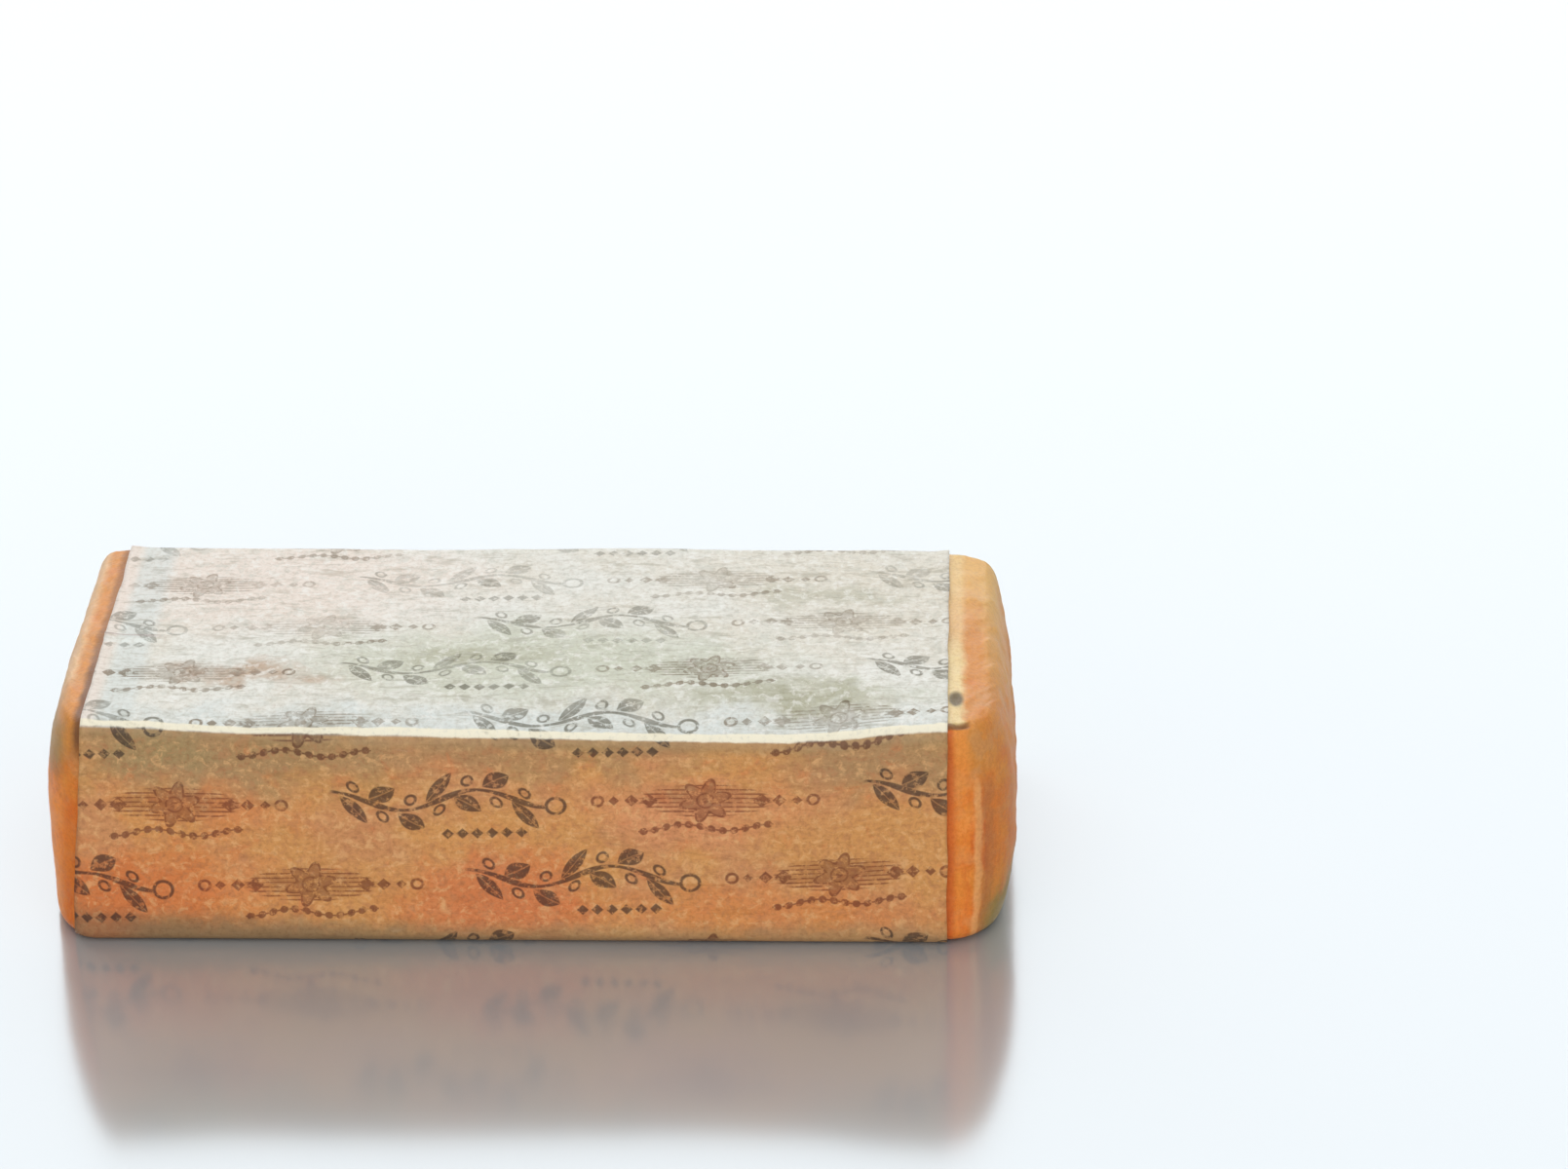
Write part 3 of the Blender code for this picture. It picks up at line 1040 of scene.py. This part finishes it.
# %% Colours of the paste
PASTE_CREAM = (0.83, 0.73, 0.47)
PASTE_PALE = (0.86, 0.80, 0.60)
PASTE_YELLOW = (0.80, 0.66, 0.34)
PASTE_LINE = (0.58, 0.36, 0.15)
# Painted shade in the pinholes and eyes
PASTE_HOLE_SHADE = (0.20, 0.175, 0.060)
PASTE_SHADE = (0.90, 0.86, 0.76)


def make_paste():
    finish = Finish(bpy.data.materials.new("cream paste"))
    place = rind_places(finish)[0]
    inside = finish.attribute("in_eye")
    depth = finish.attribute("under_rind") * MM
    cloud = finish.noise(place, 0.06, 3.0, 0.5)
    curd = finish.noise(place, 0.8, 4.0, 0.6)
    pinholes = finish.node("TexVoronoi", {"feature": "F1"}, {"Vector": place, "Scale": 0.42})
    size = finish.noise(place, 0.5, 1.0)
    hole = finish.step(pinholes, 0.13, 0.07) * finish.step(size, 0.56, 0.62)
    ripe = finish.step(depth + (cloud - 0.5) * 8.0, 7.0, 1.0)
    line = finish.step(depth + (curd - 0.5) * 0.9, 1.1, 0.35)
    colour = finish.coats(PASTE_CREAM, (
        (finish.step(cloud, 0.35, 0.65), PASTE_PALE),
        (ripe * 0.75, PASTE_YELLOW),
        (line * 0.85, PASTE_LINE),
    ))
    shade = finish.mix(1.0, colour, PASTE_SHADE, "MULTIPLY")
    # Painted shade: dark spots in the pinholes, and the eyes darker with depth
    colour = finish.coats(colour, (
        (finish.step(curd, 0.55, 0.35) * 0.5, shade),
        (hole * 0.45, PASTE_HOLE_SHADE),
        (inside * 0.85, PASTE_HOLE_SHADE),
    ))
    bump = finish.node("Bump", {}, {
        "Strength": 0.5, "Distance": 0.0003, "Height": curd * 0.6 - hole,
    })
    shader = finish.node("BsdfPrincipled", {}, {
        "Base Color": colour,
        "Roughness": 0.5 + (curd - 0.5) * 0.25,
        "Normal": bump,
        "Subsurface Weight": 0.25,
        "Subsurface Radius": (1.0, 0.75, 0.35),
        "Subsurface Scale": 0.003,
        "IOR": 1.42,
    })
    return finish.done(shader)


paste = make_paste()

# %% Cut the eyes out of the paste
def note_new_points(data):
    """The points that the cut has added know nothing yet: they lie in the paste, some in an eye."""
    data.attributes.new("in_eye", "FLOAT", "POINT")
    depth = data.attributes["under_rind"].data
    hollow = data.attributes["in_eye"].data
    for vertex in data.vertices:
        x, y, z = vertex.co
        on_cut = y > 0 and under_rind(x, z) > EYE_MARGIN / 2
        if on_cut and depth[vertex.index].value < EYE_MARGIN / 10:
            depth[vertex.index].value = DEEP_INSIDE
            # Grows with depth into an eye, for the painted shade there
            hollow[vertex.index].value = smooth((CUT - y) / EYE_SHADE_DEPTH)


def cut_eyes(body):
    """Takes the eyes away from the cut face and keeps the result as the body's own mesh."""
    cutters = bpy.data.collections.new("cutters")
    bpy.context.scene.collection.children.link(cutters)
    make_eyes(cutters)
    for cutter in cutters.objects:
        cutter.data.materials.append(paste)
    hollow = body.modifiers.new("Eyes", "BOOLEAN")
    hollow.operation = "DIFFERENCE"
    hollow.solver = "EXACT"
    hollow.operand_type = "COLLECTION"
    hollow.collection = cutters
    hollow.material_mode = "TRANSFER"
    graph = bpy.context.evaluated_depsgraph_get()
    whole = body.data
    body.data = bpy.data.meshes.new_from_object(body.evaluated_get(graph), depsgraph=graph)
    body.modifiers.clear()
    bpy.data.meshes.remove(whole)
    note_new_points(body.data)
    for cutter in list(cutters.objects):
        bpy.data.objects.remove(cutter, do_unlink=True)
    bpy.data.collections.remove(cutters)


SHARP_ANGLE = 50.0
cheese.data.materials.append(rind)
cheese.data.materials.append(paste)
cut_eyes(cheese)
cheese.data.name = "cheese"
cheese.data.set_sharp_from_angle(angle=math.radians(SHARP_ANGLE))
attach(cheese, "root")
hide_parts("cheese_block")
print("faces of the cheese with its eyes:", len(cheese.data.polygons))

# %% [markdown]
# ## The printed paper
#
# The sheet is thin parchment. On the top it has dried and looks whitish grey. On the front it has
# soaked up the rind's moisture, so the orange shows through in blotches. The print is dark brown on the
# front and faded to a thin grey on the top. A picture could carry all this, but formulas stay sharp at
# any distance. The sheet's own flat coordinates, across and along in millimetres, place everything, so
# that the print bends with the paper.

# %% Where things are on the sheet
FOOT_MM = FOOT_AT * MM
FOLD_MM = FOLD_AT * MM
CREASE_MM = (FOLD_AT + CREASE_AT) * MM


def sheet_places(finish):
    """Flat place on the sheet in millimetres: across it and along it."""
    flat = finish.node("UVMap", {"uv_map": "sheet"})
    place = finish.node("VectorMath", {"operation": "SCALE"}, {"Vector": flat, "Scale": MM})
    across = finish.node("SeparateXYZ", {}, {0: place}, "X")
    along = finish.node("SeparateXYZ", {}, {0: place}, "Y")
    return place, across, along


def wandering(finish, place, across, along):
    """The same place pushed about by noise, which gives patches uneven borders."""
    sideways = (finish.noise(place, 0.07, 3.0, 0.6) - 0.5) * 46.0
    up = (finish.noise(place, 0.10, 3.0, 0.6, 0.4) - 0.5) * 20.0
    return across + sideways, along + up


def patches(finish, colour, across, along, start, rows):
    """Lays soft patches over a colour: each has a centre, a reach, its own colour and a strength."""
    for centre, reach, tint, strength in rows:
        x = (across - centre[0]) / reach[0]
        y = (along - start - centre[1]) / reach[1]
        colour = finish.mix(finish.step(finish.distance(x, y), 1.0, 0.25) * strength, colour, tint)
    return colour


print("the sheet folds at", round(FOOT_MM, 1), "and", round(FOLD_MM, 1), "mm")

# %% [markdown]
# ### The ornament
#
# The print is a repeat of two motifs, a leafy sprig and a flower on a hatched ground with lozenges
# beside it. Each motif is worked out inside its own cell, from distances: a stem is where the distance
# to a sine curve is small, a leaf is a stretched round shape, a petal is a radius that swings with the
# angle. Every other row is moved half a cell along.

# %% Cells of the ornament
COLUMN_MM = 54.0
ROW_MM = 19.0
SLOPE = 0.03
FIRST_COLUMN_MM = 9.0
FIRST_ROW_MM = 2.0
KEEP_POSITIVE = 40.0


def ornament_cells(finish, across, along):
    """Place inside the cell, and which of the two motifs the cell holds."""
    down = (across * SLOPE - along + FIRST_ROW_MM) / ROW_MM
    row = finish.function("FLOOR", down)
    odd = (row + KEEP_POSITIVE) % 2.0
    right = (across + odd * (COLUMN_MM / 2) + FIRST_COLUMN_MM) / COLUMN_MM
    column = finish.function("FLOOR", right)
    p = (right - column - 0.5) * COLUMN_MM
    q = (row + 0.5 - down) * ROW_MM
    kind = (column + row + KEEP_POSITIVE) % 2.0
    return p, q, kind


print("a cell of the ornament is", COLUMN_MM, "mm long and", ROW_MM, "mm high")

# %% Helpers for the motifs
INK_EDGE = 0.16


def thin(finish, distance, half_width):
    """Ink where the distance is less than half the line's width."""
    return finish.step(abs(distance) - half_width, INK_EDGE, -INK_EDGE)


def any_of(finish, *masks):
    """The highest of several masks."""
    highest = masks[0]
    for mask in masks[1:]:
        highest = finish.function("MAXIMUM", highest, mask)
    return highest


def in_row(finish, distance, spacing):
    """Place inside one of the equal spaces of a row, and the number of that space."""
    space = distance / spacing
    number = finish.function("FLOOR", space)
    return (space - number - 0.5) * spacing, number


print("the ink fades out over", 2 * INK_EDGE, "mm")

# %% The sprig
SPRIG_HALF = 22.0
LEAF_SPACING = 5.8
LEAF_HALF_WIDTH = 1.75
LEAF_CURVE = 0.14
LEAF_COS = 0.77
LEAF_SIN = 0.64
LEAF_OUT = 3.0
RING_OUT = 2.3


def leaves_of(finish, p, y):
    """Leaves on either side of the stem in turn, and a small ring across from each."""
    x, number = in_row(finish, p + 7.5 * LEAF_SPACING, LEAF_SPACING)
    side = number % 2.0 * 2.0 - 1.0
    away = y * side - LEAF_OUT
    a = x * LEAF_COS + away * LEAF_SIN
    b = away * LEAF_COS - x * LEAF_SIN
    leaf = finish.step(LEAF_HALF_WIDTH - a * a * LEAF_CURVE - abs(b), -INK_EDGE, INK_EDGE)
    leaf = leaf * (1.0 - thin(finish, b, 0.10) * 0.6)
    ring = thin(finish, finish.distance(x, y * side + RING_OUT) - 1.05, 0.30)
    return any_of(finish, leaf, ring)


def sprig(finish, p, q):
    """A wavy stem with leaves, a ring at its end and a few beads under it."""
    y = q - 1.0 - finish.function("SINE", p * 0.21) * 2.3
    reach = abs(p)
    width = 0.55 + finish.function("SINE", p * 0.43 + 1.0) * 0.20
    stem = thin(finish, y, width) * finish.step(reach, SPRIG_HALF + 0.5, SPRIG_HALF - 1.0)
    leaves = leaves_of(finish, p, y) * finish.step(reach, SPRIG_HALF - 1.2, SPRIG_HALF - 1.8)
    end = thin(finish, finish.distance(p - SPRIG_HALF - 1.6, q + 1.0) - 1.9, 0.36)
    x, _ = in_row(finish, p, 3.0)
    bead = finish.step(1.25 - abs(x) - abs(q + 7.2), -0.2, 0.2)
    beads = bead * finish.band(p, 9.0, 9.0, 0.1)
    return any_of(finish, stem, leaves, end, beads)


print("the sprig is", 2 * SPRIG_HALF, "mm long")

# %% The flower
PETAL_RADIUS = 4.0
PETAL_SWING = 1.15
HATCH_HALF = 13.5
HATCH_HEIGHT = 4.0
HATCH_SPACING = 1.05
LOZENGE_START = 9.6
LOZENGE_SPACING = 3.6
BEAD_SPACING = 2.3
BEADS_AT = 6.6


def flower(finish, p, q):
    """A six-petalled flower on a hatched ground, with lozenges beside it and beads under it."""
    radius = finish.distance(p, q)
    angle = finish.function("ARCTAN2", q, p)
    edge = radius - PETAL_RADIUS - finish.function("SINE", angle * 6.0) * PETAL_SWING
    petals = any_of(finish, thin(finish, edge, 0.42), finish.step(edge, 0.1, -0.1) * 0.70)
    middle = any_of(finish, thin(finish, radius - 1.7, 0.30), finish.step(radius, 0.9, 0.6))
    line, _ = in_row(finish, q, HATCH_SPACING)
    ground = finish.step(finish.distance(p / HATCH_HALF, q / HATCH_HEIGHT), 1.04, 0.94)
    hatch = thin(finish, line, 0.20) * ground * finish.step(edge, 0.2, 0.6)
    reach = abs(p)
    out = reach - LOZENGE_START
    x, number = in_row(finish, out, LOZENGE_SPACING)
    size = 1.80 - number * 0.35
    lozenge = finish.step(size - abs(x) - abs(q), -INK_EDGE, INK_EDGE)
    row = lozenge * finish.band(out, LOZENGE_SPACING * 1.5, LOZENGE_SPACING * 1.5 - 0.1, 0.1)
    end = thin(finish, finish.distance(out - LOZENGE_SPACING * 3.4, q) - 1.1, 0.32)
    smudge = finish.step(finish.distance(p / HATCH_HALF, (q - 0.6) / HATCH_HEIGHT), 1.15, 0.35) * 0.50
    along, _ = in_row(finish, p, BEAD_SPACING)
    across = q + BEADS_AT + finish.function("SINE", p * 0.36) * 0.8
    bead = finish.step(finish.distance(along, across), 1.0, 0.7)
    bead = any_of(finish, bead, thin(finish, across, 0.20))
    string = bead * finish.step(reach, BEAD_SPACING * 6.0, BEAD_SPACING * 6.0 - 0.1)
    return any_of(finish, petals, middle, hatch, row, end, string, smudge)


print("the flower is", 2 * (PETAL_RADIUS + PETAL_SWING), "mm wide")

# %% [markdown]
# ### Stains, streaks and colour of the paper
#
# The front's colours drift over two to four centimetres and are mottled on the scale of a millimetre.
# The top has long faint streaks, which are fibres of the paper and folds pressed flat. Noise stretched
# along one direction gives the streaks. Soft patches say where the paper is more olive, red or golden,
# and where moisture has stained the top. Noise pushes their borders about, so that they don't look like
# discs.

# %% Colours of the paper
FRONT_TAN = (0.64, 0.280, 0.105)
FRONT_ORANGE = (0.74, 0.238, 0.056)
FRONT_GOLD = (0.68, 0.310, 0.090)
FRONT_RED = (0.71, 0.185, 0.050)
FRONT_PINK = (0.76, 0.305, 0.125)
FRONT_EMBER = (0.66, 0.175, 0.040)
# Painted shade at the foot of the front
FRONT_FOOT_SHADE = (0.20, 0.110, 0.050)
FRONT_OLIVE = (0.36, 0.240, 0.105)
FRONT_GREEN = (0.34, 0.265, 0.110)
FRONT_PALE = (0.80, 0.440, 0.185)
FRONT_DULL = (0.50, 0.200, 0.080)
TOP_WHITE = (0.79, 0.77, 0.70)
TOP_PINK = (0.84, 0.72, 0.63)
TOP_GREEN = (0.59, 0.60, 0.47)
TOP_BLUE = (0.68, 0.72, 0.69)
TOP_TAN = (0.73, 0.66, 0.54)
TOP_GREY = (0.55, 0.54, 0.46)
TOP_BRIGHT = (0.88, 0.86, 0.80)
TOP_BROWN = (0.50, 0.330, 0.210)
TOP_OLIVE = (0.43, 0.410, 0.280)
# Painted highlight along the fold
FOLD_HIGHLIGHT = (0.96, 0.87, 0.66)
INK_FRONT = (0.22, 0.21, 0.24)
INK_FLOWER = (0.40, 0.28, 0.26)
INK_TOP = (0.31, 0.295, 0.25)
INK_TOP_FLOWER = (0.34, 0.265, 0.190)
CREASE_DARK = (0.42, 0.30, 0.28)
CREASE_LIGHT = (0.90, 0.92, 0.86)
WEAR_DARK = (0.66, 0.58, 0.50)
WEAR_GREY = (0.66, 0.63, 0.57)
WEAR_PALE = (0.30, 0.27, 0.22)

# Each patch: centre across the sheet and up from the foot, reach both ways, colour, strength
FRONT_PATCHES = (
    ((28.0, 44.0), (62.0, 12.0), FRONT_OLIVE, 0.75),
    ((20.0, 45.0), (14.0, 6.0), FRONT_GREEN, 0.45),
    ((96.0, 46.0), (46.0, 8.0), FRONT_OLIVE, 0.55),
    ((166.0, 44.0), (34.0, 11.0), FRONT_OLIVE, 0.65),
    ((28.0, 30.0), (26.0, 9.0), FRONT_ORANGE, 0.55),
    ((16.0, 12.0), (38.0, 13.0), FRONT_ORANGE, 0.80),
    ((56.0, 15.0), (26.0, 10.0), FRONT_GOLD, 0.75),
    ((84.0, 12.0), (32.0, 16.0), FRONT_RED, 0.75),
    ((124.0, 32.0), (34.0, 11.0), FRONT_PINK, 0.70),
    ((158.0, 24.0), (30.0, 14.0), FRONT_GOLD, 0.75),
    ((138.0, 8.0), (44.0, 9.0), FRONT_ORANGE, 0.60),
    ((2.0, 9.0), (30.0, 17.0), FRONT_EMBER, 0.85),
)

# The same for the top, with the centre up from the fold
TOP_PATCHES = (
    ((30.0, 60.0), (66.0, 32.0), TOP_PINK, 0.85),
    ((92.0, 26.0), (70.0, 24.0), TOP_GREEN, 0.85),
    ((148.0, 12.0), (36.0, 10.0), TOP_GREEN, 0.55),
    ((158.0, 55.0), (44.0, 34.0), TOP_TAN, 0.60),
    ((90.0, 2.0), (150.0, 9.0), TOP_BLUE, 0.70),
    ((32.0, 20.0), (20.0, 7.0), TOP_BROWN, 0.85),
    ((77.0, 28.0), (20.0, 5.0), TOP_OLIVE, 0.70),
    ((142.0, 13.0), (28.0, 7.0), TOP_OLIVE, 0.80),
    ((149.0, 55.0), (16.0, 7.0), TOP_OLIVE, 0.50),
)


def front_colour(finish, place, across, along, x, y):
    """Paper that has soaked up the orange of the rind, olive at the foot with painted shade darkest
    along the floor, and olive with painted shade under the fold.
    """
    drift = finish.noise(place, 0.055, 3.0, 0.55)
    patch = finish.noise(place, 0.20, 4.0, 0.62, 0.6)
    marble = finish.noise(place, 0.48, 3.0, 0.65, 0.5)
    foot = finish.step(along + (patch - 0.5) * 7.0, FOOT_MM + 6.5, FOOT_MM + 1.0)
    foot = foot * finish.step(across + (patch - 0.5) * 8.0, 1.0, 13.0)
    left = finish.step(across, 110.0, 8.0)
    # Painted shade along the foot, where the block stands on the floor
    foot_shade = finish.step(along + (patch - 0.5) * 4.0 - left * 3.5, FOOT_MM + 5.5, FOOT_MM - 1.0)
    # Olive band just below the fold, partly painted shade
    olive_and_shade_under_fold = finish.step(along, FOLD_MM - 4.0, FOLD_MM - 1.5)
    colour = finish.mix(finish.step(drift, 0.40, 0.62), FRONT_TAN, FRONT_GOLD)
    colour = patches(finish, colour, x, y, FOOT_MM, FRONT_PATCHES)
    return finish.coats(colour, (
        (finish.step(patch, 0.55, 0.74) * 0.45, FRONT_PALE),
        (finish.step(patch, 0.44, 0.28) * 0.40, FRONT_RED),
        (finish.step(marble, 0.51, 0.66) * 0.55, FRONT_PALE),
        (finish.step(marble, 0.49, 0.36) * 0.42, FRONT_DULL),
        (foot * (0.80 - finish.step(across, 50.0, 110.0) * 0.25), FRONT_OLIVE),
        (foot_shade * (0.25 + left * 0.42), FRONT_FOOT_SHADE),
        (olive_and_shade_under_fold * 0.55, FRONT_OLIVE),
    ))


def top_colour(finish, place, x, y):
    """Paper that has dried, in whites of several tints, with greyer blotches."""
    drift = finish.noise(place, 0.05, 3.0, 0.5)
    blotch = finish.noise(place, 0.16, 4.0, 0.62)
    fleck = finish.noise(place, 0.42, 3.0, 0.65, 0.5)
    colour = finish.mix(finish.step(drift, 0.38, 0.62) * 0.5, TOP_WHITE, TOP_TAN)
    colour = patches(finish, colour, x, y, FOLD_MM, TOP_PATCHES)
    return finish.coats(colour, (
        (finish.step(blotch, 0.54, 0.70) * 0.45, TOP_GREY),
        (finish.step(blotch, 0.46, 0.26) * 0.40, TOP_BRIGHT),
        (finish.step(fleck, 0.49, 0.36) * 0.34, TOP_GREY),
        (finish.step(fleck, 0.51, 0.64) * 0.50, TOP_BRIGHT),
    ))


print("soft patches on the front:", len(FRONT_PATCHES), "and on the top:", len(TOP_PATCHES))

# %% Print and wear
def print_strength(finish, place, along, on_top):
    """How dark the print is: worn away in places, and palest at the back of the top."""
    worn = finish.noise(place, 0.62, 3.0, 0.72)
    faded = finish.noise(place, 0.045, 2.0, 0.5)
    kept = finish.step(worn, 0.37, 0.50)
    front = kept * 0.65 + 0.30
    near_fold = finish.step(along, FOLD_MM + 40.0, FOLD_MM + 16.0)
    top = (kept * 0.70 + 0.20) * (0.42 + finish.step(faded, 0.42, 0.58) * 0.33 + near_fold * 0.25)
    return (front + on_top * (top - front)) * finish.step(along, 0.4, 1.2)


def printed(finish, colour, place, across, along, on_top):
    """The ornament darkens the paper's colour."""
    p, q, kind = ornament_cells(finish, across, along)
    sprigs = sprig(finish, p, q) * kind
    flowers = flower(finish, p, q) * (1.0 - kind)
    strength = print_strength(finish, place, along, on_top)
    inks = ((sprigs, INK_FRONT, INK_TOP), (flowers, INK_FLOWER, INK_TOP_FLOWER))
    for ornament, front_ink, top_ink in inks:
        inked = finish.mix(1.0, colour, finish.mix(on_top, front_ink, top_ink), "MULTIPLY")
        colour = finish.mix(ornament * strength, colour, inked)
    return colour


def creased(finish, colour, across, along):
    """A dark line with a bright one below it, where the short crease catches the light."""
    near = finish.step(across, CREASE_REACH * MM, CREASE_REACH * MM - 4.0) * 0.5
    up = along - CREASE_MM - across * CREASE_SLOPE
    return finish.coats(colour, (
        (finish.band(up, 0.5, 0.3, 0.4), CREASE_DARK),
        (finish.band(up, -1.4, 0.6, 0.6), CREASE_LIGHT),
    ), near)


def weathered(finish, colour, mottle, streak, smear, on_top):
    """Fine mottling, long streaks and smears, darker and paler than the paper."""
    dark = finish.mix(1.0, colour, WEAR_DARK, "MULTIPLY")
    grey = finish.mix(1.0, colour, WEAR_GREY, "MULTIPLY")
    pale = finish.mix(1.0, colour, WEAR_PALE, "SCREEN")
    return finish.coats(colour, (
        (finish.step(mottle, 0.56, 0.32) * (0.55 - on_top * 0.12), dark),
        (finish.step(streak, 0.47, 0.32) * (0.35 + on_top * 0.32), grey),
        (finish.step(smear, 0.56, 0.68) * on_top * 0.62, grey),
        (finish.step(streak, 0.58, 0.74) * (0.16 + on_top * 0.40), pale),
    ))


print("the crease reaches", CREASE_REACH * MM, "mm into the top")

# %% Assemble the finish of the paper
def paper_colour(finish, place, across, along, on_top, mottle, streak, smear):
    """The front and the top, the sheet's left edge, the crease, the print, the wear, and a painted
    highlight along the fold.
    """
    x, y = wandering(finish, place, across, along)
    front = front_colour(finish, place, across, along, x, y)
    colour = finish.coats(finish.mix(on_top, front, top_colour(finish, place, x, y)), (
        (finish.band(across, 6.5, 2.0, 3.0) * 0.6, TOP_BLUE),
        (finish.step(across, 3.6, 1.4) * 0.7, TOP_PINK),
    ), on_top)
    colour = creased(finish, colour, across, along)
    colour = printed(finish, colour, place, across, along, on_top)
    colour = weathered(finish, colour, mottle, streak, smear, on_top)
    # Painted highlight: a cream line along the rounded fold
    fold_highlight_width = 0.42 + finish.step(across, 20.0, 90.0) * 0.16
    fold = finish.band(along + (smear - 0.5) * 1.6, FOLD_MM + 0.4, fold_highlight_width, 0.45)
    return finish.mix(fold * (0.90 - finish.step(mottle, 0.50, 0.30) * 0.30), colour, FOLD_HIGHLIGHT)


def make_paper():
    finish = Finish(bpy.data.materials.new("printed parchment"))
    place, across, along = sheet_places(finish)
    on_top = finish.step(along, FOLD_MM - 0.7, FOLD_MM + 0.1)
    mottle = finish.noise(place, 0.9, 4.0, 0.7)
    streak = finish.noise(finish.vector(across * 0.11, along * 0.62, 0.0), 1.0, 5.0, 0.70, 0.8)
    smear = finish.noise(finish.vector(across * 0.10, along * 0.24, 4.0), 1.0, 4.0, 0.65)
    colour = paper_colour(finish, place, across, along, on_top, mottle, streak, smear)
    height = streak * 0.5 + mottle * 0.5
    bump = finish.node("Bump", {}, {"Strength": 0.45, "Distance": 0.0003, "Height": height})
    shader = finish.node("BsdfPrincipled", {}, {
        "Base Color": colour,
        "Roughness": 0.48 + on_top * 0.22 + (mottle - 0.5) * 0.2,
        "Normal": bump,
        "IOR": 1.45,
    })
    return finish.done(shader)


paper = make_paper()
wrapping_paper.data.materials.append(paper)

# %% [markdown]
# ## The floor and the light
#
# The block stands on a pale glossy floor in a white studio. Most of the light comes from a wide glow
# behind and above it. The floor mirrors that glow and so looks white, except in front of the block,
# which hides the glow from it: there the floor shows its own light grey and a faint mirror image. Lamps
# could give that glow, but their edges would show on the floor. So the room itself is brighter towards
# the back, and a little towards the front.

# %% Floor
FLOOR_HALF = 3.0
FLOOR_DROP = 0.0001
FLOOR_COOL = (0.530, 0.555, 0.570)
FLOOR_WARM = (0.550, 0.570, 0.580)


def make_floor_finish():
    finish = Finish(bpy.data.materials.new("pale floor"))
    spot = finish.node("TexCoord", {}, {}, "Object")
    cloud = finish.noise(spot, 3.0, 2.0, 0.5)
    shader = finish.node("BsdfPrincipled", {}, {
        "Base Color": finish.mix(cloud, FLOOR_COOL, FLOOR_WARM),
        "Metallic": 0.45,
        "Roughness": 0.15,
    })
    return finish.done(shader)


def make_floor():
    plane = bmesh.new()
    bmesh.ops.create_grid(plane, x_segments=8, y_segments=8, size=FLOOR_HALF)
    made = placed("floor", mesh_from("floor", plane))
    made.location = (0.0, 0.0, -FLOOR_DROP)
    made.data.materials.append(make_floor_finish())
    return made


floor = make_floor()
print(floor.name, "is", 2 * FLOOR_HALF, "m wide")

# %% Light
ROOM_COLOUR = (0.955, 0.980, 1.0)
ROOM_STRENGTH = 0.40
BACK_AIM = (-0.117, 0.830, 0.545)
BACK_GLOW = 1.85
BACK_BORDER = (0.66, 0.92)
FRONT_AIM = (0.10, -0.98, 0.15)
FRONT_GLOW = 1.30
FRONT_BORDER = (0.20, 0.95)


def glow(finish, direction, aim, border):
    """1 where the room is seen in the aimed direction, falling to 0 at the border."""
    near = finish.node("VectorMath", {"operation": "DOT_PRODUCT"}, {0: direction, 1: aim}, "Value")
    return finish.step(near, *border)


def make_room():
    world = bpy.data.worlds.new("white room")
    bpy.context.scene.world = world
    finish = Finish(world)
    direction = finish.node("TexCoord", {}, {}, "Generated")
    back = glow(finish, direction, BACK_AIM, BACK_BORDER) * BACK_GLOW
    front = glow(finish, direction, FRONT_AIM, FRONT_BORDER) * FRONT_GLOW
    strength = back + front + ROOM_STRENGTH
    light = finish.node("Background", {}, {"Color": ROOM_COLOUR, "Strength": strength})
    return finish.done(light, "OutputWorld")


make_room()
bpy.context.scene.view_settings.view_transform = "Standard"
print("a white room, brightest towards", BACK_AIM)
